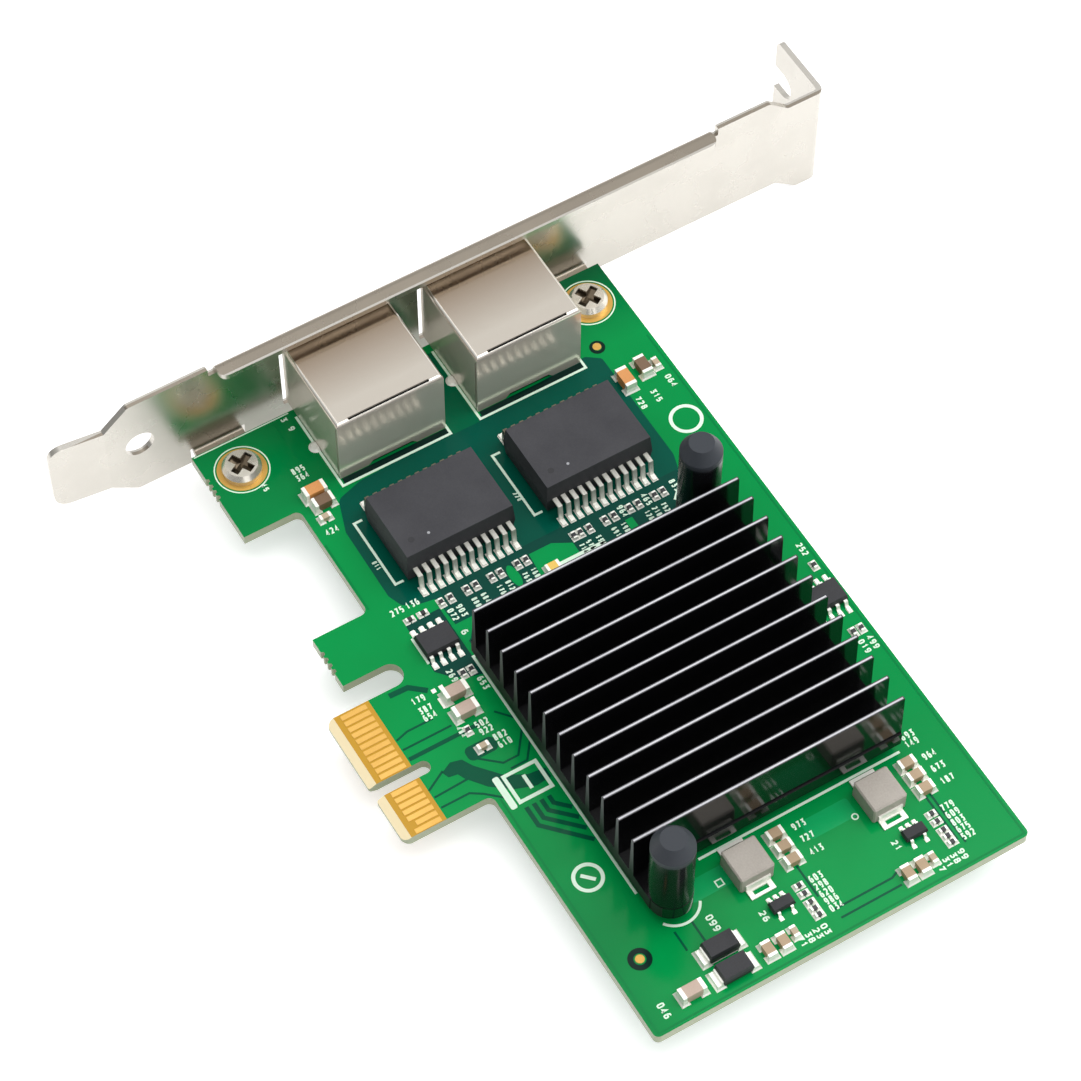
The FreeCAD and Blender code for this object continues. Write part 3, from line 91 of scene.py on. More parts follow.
def srgb(red: int, green: int, blue: int) -> Colour:
    """Linear colour of an 8-bit display colour.

    Args:
        red: first channel, of 255.
        green: second channel.
        blue: third channel.

    Returns:
        The three channels as linear shares of one.
    """
    def linear(value: int) -> float:
        """Linear share of one channel."""
        share = value / 255
        return share / 12.92 if share <= 0.04045 else ((share + 0.055) / 1.055) ** 2.4
    return linear(red), linear(green), linear(blue)


class Axis(Enum):
    """Which way a number reads on the board."""
    X = 0
    Y = 1


# ---------------------------------------------------------------- node building
class Net:
    """Short way to build a node tree.

    Args:
        tree: the tree that nodes are added to.
    """

    def __init__(self, tree: bpy.types.NodeTree) -> None:
        """Keep the tree."""
        self.tree = tree

    def add(self, kind: str, inputs: dict | None = None, **settings: object) -> bpy.types.Node:
        """Add a node, set its options and fill its inputs with values or with other nodes' outputs.

        Args:
            kind: the node's type name.
            inputs: socket name or number to a value or an output socket.
            settings: options of the node itself.

        Returns:
            The new node.
        """
        node = self.tree.nodes.new(kind)
        for name, value in settings.items():
            setattr(node, name, value)
        for name, value in (inputs or {}).items():
            if isinstance(value, Socket):
                self.link(value, node.inputs[name])
            else:
                node.inputs[name].default_value = value
        return node

    def link(self, source: Socket, target: Socket) -> None:
        """Join an output to an input."""
        self.tree.links.new(source, target)

    def here(self) -> Socket:
        """Place of the shaded point, in metres in the frame."""
        return self.add("ShaderNodeTexCoord").outputs["Object"]

    def maths(self, operation: str, *values: Value) -> Socket:
        """Result of a Math node on one to three values or sockets."""
        return self.add("ShaderNodeMath", dict(enumerate(values)), operation=operation).outputs[0]

    def above(self, value: Value, limit: float) -> Socket:
        """Mask of one where a value is over a limit."""
        return self.maths("GREATER_THAN", value, limit)

    def below(self, value: Value, limit: float) -> Socket:
        """Mask of one where a value is under a limit."""
        return self.maths("LESS_THAN", value, limit)

    def between(self, value: Value, low: float, high: float) -> Socket:
        """Mask of one where a value lies between two others."""
        return self.both(self.above(value, low), self.below(value, high))

    def both(self, *masks: Socket) -> Socket:
        """Mask where all of the masks hold.

        Args:
            masks: masks of zero to one.

        Returns:
            Their product.
        """
        joined = masks[0]
        for mask in masks[1:]:
            joined = self.maths("MULTIPLY", joined, mask)
        return joined

    def distance(self, value: Value, middle: float) -> Socket:
        """How far a value is from a middle."""
        return self.maths("ABSOLUTE", self.maths("SUBTRACT", value, middle))

    def choose(self, factor: Value, first: Value, second: Value) -> Socket:
        """Mix of two numbers."""
        return self.add("ShaderNodeMix", {0: factor, 2: first, 3: second}).outputs[0]

    def mix(self, factor: Value, first: Tone, second: Tone) -> Socket:
        """Mix of two colours."""
        first, second = ((*tone, 1) if isinstance(tone, tuple) else tone for tone in (first, second))
        return self.add("ShaderNodeMix", {0: factor, 6: first, 7: second}, data_type="RGBA").outputs[2]

    def ramp(self, value: Value, low: float, high: float, start: float = 0.0, end: float = 1.0) -> Socket:
        """Value mapped from low..high to start..end, held at the ends."""
        return self.add("ShaderNodeMapRange", {0: value, 1: low, 2: high, 3: start, 4: end}).outputs[0]


def shader_group(name: str, inputs: dict[str, float],
                 outputs: Sequence[str]) -> tuple[Net, bpy.types.Node, bpy.types.Node]:
    """Empty shader group with float inputs and outputs.

    Args:
        name: the group's name.
        inputs: input name to its usual value.
        outputs: the outputs' names.

    Returns:
        The group's net, its input node and its output node.
    """
    tree = bpy.data.node_groups.new(name, "ShaderNodeTree")
    for label, value in inputs.items():
        socket = tree.interface.new_socket(label, in_out="INPUT", socket_type="NodeSocketFloat")
        socket.default_value = value
    for label in outputs:
        tree.interface.new_socket(label, in_out="OUTPUT", socket_type="NodeSocketFloat")
    net = Net(tree)
    return net, net.add("NodeGroupInput"), net.add("NodeGroupOutput")


class Effects:
    """Shader groups that more than one finish uses, each built once."""

    def __init__(self) -> None:
        """Build the groups."""
        self.grain = self._grain()
        self.smudge = self._smudge()
        self.streaks = self._streaks()

    def _grain(self) -> bpy.types.NodeTree:
        """Fine pitted grain of moulded and coated surfaces.

        Returns:
            The shader group.
        """
        net, given, out = shader_group("fine_grain", {"Scale": 9000.0, "Depth": 0.000004},
                                       ("Height", "Value"))
        noise = net.add("ShaderNodeTexNoise", {"Vector": net.here(), "Scale": given.outputs["Scale"],
                                               "Detail": 3.0, "Roughness": 0.6})
        height = net.maths("MULTIPLY", noise.outputs["Fac"], given.outputs["Depth"])
        net.link(height, out.inputs["Height"])
        net.link(noise.outputs["Fac"], out.inputs["Value"])
        return net.tree

    def _smudge(self) -> bpy.types.NodeTree:
        """Slow cloudy change, for handling marks and uneven gloss.

        Returns:
            The shader group.
        """
        net, given, out = shader_group("smudge", {"Scale": 120.0, "Low": 0.4, "High": 0.65}, ("Mask",))
        noise = net.add("ShaderNodeTexNoise", {"Vector": net.here(), "Scale": given.outputs["Scale"],
                                               "Detail": 4.0})
        mask = net.ramp(noise.outputs["Fac"], given.outputs["Low"], given.outputs["High"])
        net.link(mask, out.inputs["Mask"])
        return net.tree

    def _streaks(self) -> bpy.types.NodeTree:
        """Fine rolling lines of sheet metal, drawn out along Y.

        Returns:
            The shader group.
        """
        net, given, out = shader_group("rolled_streaks", {"Scale": 2500.0, "Stretch": 0.03}, ("Value",))
        split = net.add("ShaderNodeSeparateXYZ", {0: net.here()})
        drawn = net.maths("MULTIPLY", split.outputs["Y"], given.outputs["Stretch"])
        joined = net.add("ShaderNodeCombineXYZ", {0: split.outputs["X"], 1: drawn, 2: split.outputs["Z"]})
        noise = net.add("ShaderNodeTexNoise", {"Vector": joined.outputs[0],
                                               "Scale": given.outputs["Scale"], "Detail": 2.0})
        net.link(noise.outputs["Fac"], out.inputs["Value"])
        return net.tree


# ---------------------------------------------------------------- finishes
class Spot:
    """Where a shaded point lies, which way its face looks and how uneven the surface is there.

    Args:
        net: the net of the material.
        smudge: mask of slow change.
        grain: value of fine change.
    """

    def __init__(self, net: Net, smudge: Socket, grain: Socket) -> None:
        """Add the nodes that find the place and the way the face looks."""
        self.net, self.smudge, self.grain = net, smudge, grain
        place = net.add("ShaderNodeSeparateXYZ", {0: net.here()})
        looks = net.add("ShaderNodeNewGeometry").outputs["True Normal"]
        normal = net.add("ShaderNodeSeparateXYZ", {0: looks})
        self.x, self.y, self.z = (net.maths("MULTIPLY", place.outputs[k], 1 / MM) for k in range(3))
        self.up = normal.outputs["Z"]
        self.along_y = normal.outputs["Y"]


@dataclass(frozen=True)
class Finish:
    """Surface with a slightly uneven colour and gloss and a fine grain.

    The colour wanders between colour and shade, and the gloss between roughness and
    roughness_high. Depths are in metres, and scales are per metre.
    """
    name: str
    colour: Colour
    shade: Colour
    metallic: float = 0.0
    roughness: float = 0.5
    roughness_high: float = 0.6
    grain_scale: float = 9000.0
    grain_depth: float = 0.000002
    grain_low: float = 0.35
    grain_high: float = 0.65
    grain_share: float = 0.5
    smudge_scale: float = 150.0
    coat: float = 0.0
    coat_roughness: float = 0.1
    specular: float = 0.5

    def build(self, effects: Effects) -> Material:
        """Material of this finish.

        Args:
            effects: the shared shader groups.

        Returns:
            A new material.
        """
        material = bpy.data.materials.new(self.name)
        material.use_nodes = True
        material.node_tree.nodes.clear()
        net = Net(material.node_tree)
        shader = net.add("ShaderNodeBsdfPrincipled", {
            "Coat Weight": self.coat, "Coat Roughness": self.coat_roughness,
            "Specular IOR Level": self.specular})
        net.add("ShaderNodeOutputMaterial", {0: shader.outputs[0]})
        grain = net.add("ShaderNodeGroup", {"Scale": self.grain_scale, "Depth": self.grain_depth},
                        node_tree=effects.grain)
        smudge = net.add("ShaderNodeGroup", {"Scale": self.smudge_scale}, node_tree=effects.smudge)
        spot = Spot(net, smudge.outputs["Mask"], grain.outputs["Value"])
        net.link(self.paint(spot), shader.inputs["Base Color"])
        net.link(self.gloss(spot), shader.inputs["Roughness"])
        self.metal(spot, shader.inputs["Metallic"])
        bump = net.add("ShaderNodeBump", {"Height": self.relief(net, effects, grain.outputs["Height"]),
                                          "Distance": 1.0, "Strength": 1.0})
        net.link(bump.outputs[0], shader.inputs["Normal"])
        return material

    def paint(self, spot: Spot) -> Socket:
        """Colour over the surface.

        Args:
            spot: the shaded point.

        Returns:
            The base colour.
        """
        net = spot.net
        fine = net.maths("MULTIPLY", net.ramp(spot.grain, self.grain_low, self.grain_high), self.grain_share)
        factor = net.maths("MULTIPLY_ADD", spot.smudge, 1.0 - self.grain_share, fine)
        return net.mix(factor, self.colour, self.shade)

    def gloss(self, spot: Spot) -> Socket:
        """Roughness over the surface."""
        return spot.net.ramp(spot.smudge, 0.0, 1.0, self.roughness, self.roughness_high)

    def metal(self, spot: Spot, target: Socket) -> None:
        """Set how metallic the surface is."""
        target.default_value = self.metallic

    def relief(self, net: Net, effects: Effects, grain: Socket) -> Socket:
        """Height over the surface, in metres."""
        return grain


@dataclass(frozen=True)
class SheetSteel(Finish):
    """Plated sheet with faint rolling lines."""
    line_depth: float = 0.0000015

    def relief(self, net: Net, effects: Effects, grain: Socket) -> Socket:
        """Height over the surface: grain and rolling lines."""
        lines = net.add("ShaderNodeGroup", node_tree=effects.streaks)
        return net.maths("MULTIPLY_ADD", lines.outputs["Value"], self.line_depth, grain)


@dataclass(frozen=True)
class ShellSteel(SheetSteel):
    """Plated shell whose top turns browner towards the bracket, a painted reflection of it, with a painted highlight as
    a bright rim round its top.
    """
    # Colour of the painted reflection of the bracket on the top.
    brown: Colour = srgb(150, 128, 104)
    brown_share: float = 0.85
    brown_low_x: float = -56.0
    brown_high_x: float = -46.8
    # Colour of the painted highlight round the top's side and rear edges.
    rim: Colour = srgb(248, 244, 234)
    rim_width: float = 0.28
    rear_x: float = -43.8
    half_width: float = 7.9
    top_up: float = 0.7
    wall_up: float = 0.3
    wall_metallic: float = 0.5

    def paint(self, spot: Spot) -> Socket:
        """Colour over the surface.

        Args:
            spot: the shaded point.

        Returns:
            The base colour.
        """
        net = spot.net
        top = net.above(spot.up, self.top_up)
        # Painted reflection of the bracket: the top turns browner towards it.
        bracket_reflection = net.both(top, net.ramp(spot.x, self.brown_low_x, self.brown_high_x, self.brown_share, 0.0))
        tone = net.mix(bracket_reflection, super().paint(spot), self.brown)
        # Painted highlight: a bright rim along the top's side and rear edges.
        across = net.distance(net.distance(spot.y, PORT_MIDDLE_Y), PORT_PITCH / 2)
        at_side = net.above(across, self.half_width - self.rim_width)
        at_rear = net.above(spot.x, self.rear_x - self.rim_width)
        return net.mix(net.both(top, net.maths("MAXIMUM", at_side, at_rear)), tone, self.rim)

    def metal(self, spot: Spot, target: Socket) -> None:
        """Set how metallic the surface is: less on the walls, which scatter more light."""
        net = spot.net
        net.link(net.ramp(spot.up, self.wall_up, self.top_up, self.wall_metallic, self.metallic), target)


@dataclass(frozen=True)
class BracketSteel(SheetSteel):
    """Plated sheet whose stiffening flange is painted darker between its bright edges: painted shade."""
    # Colour of the painted shade on the flange.
    dull: Colour = srgb(158, 149, 136)
    flange_low_x: float = -59.4
    flange_high_x: float = -57.15

    def paint(self, spot: Spot) -> Socket:
        """Colour over the surface.

        Args:
            spot: the shaded point.

        Returns:
            The base colour.
        """
        net = spot.net
        # Painted shade on the flange's upper face.
        flange = net.both(net.above(spot.up, FACING),
                          net.between(spot.x, self.flange_low_x, self.flange_high_x))
        return net.mix(flange, super().paint(spot), self.dull)


@dataclass(frozen=True)
class ScrewSteel(Finish):
    """Plated screws whose cross recesses are painted darker: painted shade."""
    # Colour of the painted shade in the cross recesses.
    recess_shade: Colour = srgb(84, 74, 60)
    recess_radius: float = 1.95
    recess_height: float = 1.25

    def paint(self, spot: Spot) -> Socket:
        """Colour over the surface.

        Args:
            spot: the shaded point.

        Returns:
            The base colour.
        """
        net = spot.net
        low, high = SCREW_YS
        across = net.maths("SUBTRACT", spot.x, SCREW_X)
        along = net.maths("SUBTRACT", net.distance(spot.y, (low + high) / 2), (high - low) / 2)
        squared = net.maths("MULTIPLY_ADD", across, across, net.maths("MULTIPLY", along, along))
        # Painted shade inside the screw heads, where the cross recesses are.
        inside = net.both(net.below(squared, self.recess_radius ** 2),
                          net.between(spot.z, 0.0, self.recess_height))
        return net.mix(inside, super().paint(spot), self.recess_shade)


@dataclass(frozen=True)
class Anodised(Finish):
    """Black anodised fins with painted highlights: paler tips, and paler ends, which look against Y."""
    # Colour of the painted highlight on the fin tips.
    tip: Colour = srgb(58, 58, 62)
    tip_height: float = 12.0
    # Colour of the painted highlight on the fin ends, fading towards the base.
    end: Colour = srgb(92, 92, 96)
    end_roughness: float = 0.55
    base_height: float = 4.6

    def paint(self, spot: Spot) -> Socket:
        """Colour over the surface.

        Args:
            spot: the shaded point.

        Returns:
            The base colour.
        """
        net = spot.net
        # Painted highlights: on the ends, fading towards the base, and on the tips.
        ends = net.both(net.below(spot.along_y, -FACING), net.ramp(spot.z, self.base_height, self.tip_height))
        tips = net.both(net.above(spot.up, FACING), net.above(spot.z, self.tip_height))
        return net.mix(tips, net.mix(ends, super().paint(spot), self.end), self.tip)

    def gloss(self, spot: Spot) -> Socket:
        """Roughness over the surface."""
        return spot.net.choose(spot.net.below(spot.along_y, -FACING), super().gloss(spot), self.end_roughness)


@dataclass(frozen=True)
class PinNylon(Finish):
    """Black nylon, dull on the cap of a push pin and bright below it."""
    cap_height: float = 14.4
    cap_blend: float = 0.4
    cap_colour: Colour = srgb(54, 58, 64)
    cap_roughness: float = 0.5

    def paint(self, spot: Spot) -> Socket:
        """Colour over the surface."""
        cap = spot.net.ramp(spot.z, self.cap_height - self.cap_blend, self.cap_height + self.cap_blend)
        return spot.net.mix(cap, super().paint(spot), self.cap_colour)

    def gloss(self, spot: Spot) -> Socket:
        """Roughness over the surface."""
        return spot.net.choose(spot.net.above(spot.z, self.cap_height), super().gloss(spot), self.cap_roughness)


@dataclass(frozen=True)
class LeadTin(Finish):
    """Tinned leads, bright at the feet and painted darker where they leave the body: painted shade.

    The leads on the far side of middle_x take the painted shade in full, and the others by seen_share.
    """
    # Colour of the painted shade on the leads.
    dull: Colour = srgb(96, 90, 72)
    bright_height: float = 1.3
    shade_height: float = 2.5
    middle_x: float = -30.56
    seen_share: float = 0.4

    def paint(self, spot: Spot) -> Socket:
        """Colour over the surface.

        Args:
            spot: the shaded point.

        Returns:
            The base colour.
        """
        net = spot.net
        # Painted shade where the leads leave the body, in full on the far side of middle_x.
        hidden = net.below(spot.x, self.middle_x)
        share = net.maths("MULTIPLY_ADD", hidden, 1.0 - self.seen_share, self.seen_share)
        lead_shade = net.both(net.ramp(spot.z, self.bright_height, self.shade_height), share)
        return net.mix(lead_shade, super().paint(spot), self.dull)


@dataclass(frozen=True)
class Ceramic(Finish):
    """Fired ceramic whose colour differs between the bracket's side and the far side of the card."""
    near_colour: Colour = srgb(112, 86, 62)
    split_x: float = -35.0

    def paint(self, spot: Spot) -> Socket:
        """Colour over the surface."""
        return spot.net.mix(spot.net.below(spot.x, self.split_x), super().paint(spot), self.near_colour)


@dataclass(frozen=True)
class SolderMask(Finish):
    """Green mask over copper, bare laminate at the tongues and raw cut edges.

    The mask ends above the contacts, at tongue_end, between tongue_low and tongue_high. It is
    painted deeper towards the bracket's upper corner, the hook tab and the lower edge: painted
    shade. Each fade is the two places that it runs between and how deep the shade is at each.
    """
    # Colour of the painted shade on the mask.
    deep: Colour = srgb(0, 92, 50)
    laminate: Colour = srgb(190, 145, 50)
    cut_edge: Colour = srgb(196, 202, 176)
    edge_dark: Colour = srgb(150, 160, 128)
    bevel: Colour = srgb(240, 224, 184)
    bevel_up: float = 0.99
    edge_up: float = 0.4
    tongue_end: float = 6.2
    tongue_low: float = -12.2
    tongue_high: float = 8.1
    corner_fade: tuple[float, ...] = (-44.0, -56.0, 0.1, 1.0)
    corner_y: float = 56.0
    hook_fade: tuple[float, ...] = (-36.0, -44.0, 0.0, 0.4)
    hook_y: float = 22.0
    lower_fade: tuple[float, ...] = (19.0, 13.0, 0.0, 0.35)
    lower_start: tuple[float, float] = (10.0, 30.0)

    def paint(self, spot: Spot) -> Socket:
        """Mask colour on the faces, laminate on the tongues and on the cut edges.

        Args:
            spot: the shaded point.

        Returns:
            The base colour.
        """
        net = spot.net
        # Painted shade towards the bracket's upper corner, the hook tab and the lower edge.
        corner = net.both(net.ramp(spot.x, *self.corner_fade), net.above(spot.y, self.corner_y))
        hook = net.both(net.ramp(spot.x, *self.hook_fade), net.below(spot.y, self.hook_y))
        lower = net.both(net.ramp(spot.y, *self.lower_fade), net.ramp(spot.x, *self.lower_start))
        painted_shade = net.maths("MAXIMUM", net.maths("MAXIMUM", corner, hook), lower)
        mask = net.mix(net.both(painted_shade, net.above(spot.up, 0.0)),
                       net.mix(spot.smudge, self.colour, self.shade), self.deep)
        on_tongue = net.both(net.below(spot.y, self.tongue_end),
                             net.between(spot.x, self.tongue_low, self.tongue_high))
        upright = net.maths("ABSOLUTE", spot.up)
        face = net.mix(net.below(upright, self.bevel_up), net.mix(on_tongue, mask, self.laminate), self.bevel)
        edge = net.mix(spot.grain, self.cut_edge, self.edge_dark)
        return net.mix(net.below(upright, self.edge_up), face, edge)


# ---------------------------------------------------------------- mesh helpers
def scene_object(name: str, data: bpy.types.ID) -> bpy.types.Object:
    """New object of the scene that holds a mesh, a light or a camera.

    Args:
        name: the object's name.
        data: what it holds.

    Returns:
        The linked object.
    """
    obj = bpy.data.objects.new(name, data)
    bpy.context.scene.collection.objects.link(obj)
    return obj


def solid_object(name: str, mesh: bpy.types.Mesh, material: Material) -> bpy.types.Object:
    """Object at the origin that rides on the card.

    Args:
        name: the piece's name.
        mesh: its mesh, in metres in the frame.
        material: its finish.

    Returns:
        The linked object.
    """
    obj = scene_object(name, mesh)
    mesh.materials.clear()
    mesh.materials.append(material)
    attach(obj, "root")
    log.info("%s: %d faces", name, len(mesh.polygons))
    return obj


def add_walls(bm: BMesh, rings: Sequence[Sequence[bmesh.types.BMVert]]) -> None:
    """Join each ring of points to the next with four-sided faces.

    Args:
        bm: the mesh that the points are in.
        rings: rings with the same number of points.
    """
    for lower, upper in zip(rings, rings[1:]):
        for i in range(len(lower)):
            j = (i + 1) % len(lower)
            bm.faces.new((lower[i], lower[j], upper[j], upper[i]))


def add_slab(bm: BMesh, outline: Sequence[Point], z0: float, z1: float) -> None:
    """Add a closed slab.

    Args:
        bm: the mesh that it goes to.
        outline: its outline, counter-clockwise, in millimetres.
        z0: height of its lower face.
        z1: height of its upper face.
    """
    low, high = ([bm.verts.new((x * MM, y * MM, z * MM)) for x, y in outline] for z in (z0, z1))
    bm.faces.new(high)
    bm.faces.new(low[::-1])
    add_walls(bm, (low, high))


def finished_mesh(bm: BMesh, name: str) -> bpy.types.Mesh:
    """Mesh with outward faces from a bmesh, which is freed.

    Args:
        bm: the bmesh.
        name: the mesh's name.

    Returns:
        A new mesh.
    """
    bmesh.ops.recalc_face_normals(bm, faces=bm.faces)
    mesh = bpy.data.meshes.new(name)
    bm.to_mesh(mesh)
    bm.free()
    return mesh


def add_ribbon(bm: BMesh, points: Sequence[Point], width: float, z0: float, z1: float) -> None:
    """Add a flat solid line of even width, mitred at its turns.

    Args:
        bm: the mesh that it goes to.
        points: what it runs through, in millimetres. It closes where the last is the first.
        width: its width.
        z0: height of its lower face.
        z1: height of its upper face.
    """
    path = [Vector(p) for p in points]
    sides = [(b - a).normalized() for a, b in zip(path, path[1:])]
    normals = [Vector((-s.y, s.x)) for s in sides]
    closed = (path[0] - path[-1]).length < SAME_POINT / MM
    rings = []
    for i, point in enumerate(path):
        first = normals[-1] if closed and i == 0 else normals[max(i - 1, 0)]
        second = normals[0] if closed and i == len(path) - 1 else normals[min(i, len(normals) - 1)]
        mitre = (first + second).normalized()
        offset = mitre * (width / 2 / max(mitre.dot(first), MITRE_LIMIT))
        a, b = point + offset, point - offset
        rings.append([bm.verts.new((v.x * MM, v.y * MM, z * MM))
                      for v, z in ((a, z0), (b, z0), (b, z1), (a, z1))])
    if closed:
        for vert in rings.pop():
            bm.verts.remove(vert)
        rings.append(rings[0])
    else:
        bm.faces.new(rings[0][::-1])
        bm.faces.new(rings[-1])
    add_walls(bm, rings)


# Strokes of each digit, in a box of one by one.
DIGITS: tuple[tuple[tuple[Point, ...], ...], ...] = (
    (((0.2, 0), (0.8, 0), (1, 0.2), (1, 0.8), (0.8, 1), (0.2, 1), (0, 0.8), (0, 0.2), (0.2, 0)),),
    (((0.2, 0.75), (0.55, 1), (0.55, 0)),),
    (((0, 0.85), (0.2, 1), (0.8, 1), (1, 0.8), (1, 0.6), (0, 0), (1, 0)),),
    (((0, 1), (1, 1), (0.45, 0.58), (0.9, 0.48), (1, 0.25), (0.8, 0), (0, 0)),),
    (((0.75, 0), (0.75, 1), (0, 0.3), (1, 0.3)),),
    (((1, 1), (0.1, 1), (0, 0.55), (0.8, 0.55), (1, 0.4), (1, 0.15), (0.8, 0), (0, 0)),),
    (((0.9, 1), (0.3, 1), (0, 0.6), (0, 0.15), (0.2, 0), (0.8, 0), (1, 0.15), (1, 0.4), (0.8, 0.55),
      (0.1, 0.5)),),
    (((0, 1), (1, 1), (0.4, 0)),),
    (((0.2, 0.52), (0.05, 0.75), (0.2, 1), (0.8, 1), (0.95, 0.75), (0.8, 0.52), (0.2, 0.52)),
     ((0.15, 0.5), (0, 0.25), (0.15, 0), (0.85, 0), (1, 0.25), (0.85, 0.5))),
    (((0.1, 0), (0.7, 0), (1, 0.4), (1, 0.85), (0.8, 1), (0.2, 1), (0, 0.85), (0, 0.6), (0.2, 0.45),
      (0.9, 0.5)),),
)


@dataclass
class NumberStamp:
    """Plain numbers drawn with strokes of even width, in millimetres.

    A digit is about usual_share as wide as its number is high, and one that stands alone is
    narrower than lone_share of the height between its strokes.
    """
    stroke: float = 0.2
    gap: float = 0.2
    usual_share: float = 0.55
    lone_share: float = 0.6
    stroke_step: float = 0.001
    seed: int = 41

    def __post_init__(self) -> None:
        """Start the fixed order of the numbers."""
        self.order = random.Random(self.seed)

    def stamp(self, bm: BMesh, place: Point, size: Point, axis: Axis, top: float) -> None:
        """Add a number.

        Args:
            bm: the mesh that it goes to.
            place: its middle.
            size: its length along the reading direction and its height.
            axis: which way it reads.
            top: height of its top face over the board.
        """
        length, height = size
        count = max(1, round((length + self.gap) / (height * self.usual_share + self.gap)))
        pitch = (length + self.gap) / count
        wide, tall = pitch - self.gap - self.stroke, height - self.stroke
        if count == 1:
            wide = min(wide, tall * self.lone_share)
        for k in range(count):
            left = -length / 2 + k * pitch + (pitch - self.gap - wide) / 2
            for layer, line in enumerate(DIGITS[self.order.randrange(len(DIGITS))]):
                points = [(left + u * wide, (v - 0.5) * tall) for u, v in line]
                if axis is Axis.Y:
                    points = [(-v, u) for u, v in points]
                add_ribbon(bm, [(place[0] + u, place[1] + v) for u, v in points], self.stroke, 0.0,
                           top + self.stroke_step * layer)


def rounded(corners: Sequence[tuple[float, float, float]], steps: int = 5) -> list[Point]:
    """Outline with rounded corners.

    Args:
        corners: place and radius of each corner, counter-clockwise.
        steps: pieces that a rounded corner is made of.

    Returns:
        The outline's points.
    """
    outline: list[Point] = []
    count = len(corners)
    for i, (x, y, radius) in enumerate(corners):
        here = Vector((x, y))
        if radius == 0:
            outline.append((x, y))
            continue
        before = (Vector(corners[i - 1][:2]) - here).normalized()
        after = (Vector(corners[(i + 1) % count][:2]) - here).normalized()
        half = before.angle(after) / 2
        centre = here + (before + after).normalized() * radius / math.sin(half)
        start = here + before * radius / math.tan(half) - centre
        end = here + after * radius / math.tan(half) - centre
        turn = start.angle_signed(end)
        for k in range(steps + 1):
            angle = math.atan2(start.y, start.x) - turn * k / steps
            outline.append((centre.x + radius * math.cos(angle), centre.y + radius * math.sin(angle)))
    return outline


def arc(x: float, y: float, radius: float, start: float = 0, end: float = 360,
        count: int = 20) -> list[Point]:
    """Points along an arc, which is a closed circle unless its angles are given.

    Args:
        x: place of its centre.
        y: place of its centre.
        radius: its radius.
        start: first angle in degrees.
        end: last angle in degrees.
        count: pieces that it is made of.

    Returns:
        The points, one more than the pieces.
    """
    angles = [math.radians(start + (end - start) * i / count) for i in range(count + 1)]
    return [(x + radius * math.cos(angle), y + radius * math.sin(angle)) for angle in angles]


def solids_of(node: str) -> list[tuple[Vector, Vector]]:
    """Where the separate solids of a node are.

    Args:
        node: a node of the frame.

    Returns:
        Lowest and highest corner of each solid, in metres.
    """
    bm = bmesh.new()
    bm.from_mesh(frame["nodes"][node].data)
    bmesh.ops.remove_doubles(bm, verts=bm.verts, dist=SAME_POINT)
    seen: set[int] = set()
    boxes = []
    bm.verts.ensure_lookup_table()
    for vert in bm.verts:
        if vert.index in seen:
            continue
        stack = [vert]
        seen.add(vert.index)
        group = []
        while stack:
            here = stack.pop()
            group.append(here.co)
            for edge in here.link_edges:
                other = edge.other_vert(here)
                if other.index not in seen:
                    seen.add(other.index)
                    stack.append(other)
        boxes.append(tuple(Vector([pick(c[k] for c in group) for k in range(3)]) for pick in (min, max)))
    bm.free()
    return boxes


# ---------------------------------------------------------------- repeated pieces
class PadShape(Enum):
    """What stands on each point: a flat square pad or a domed drop of solder."""
    SQUARE = 4
    DROP = 12


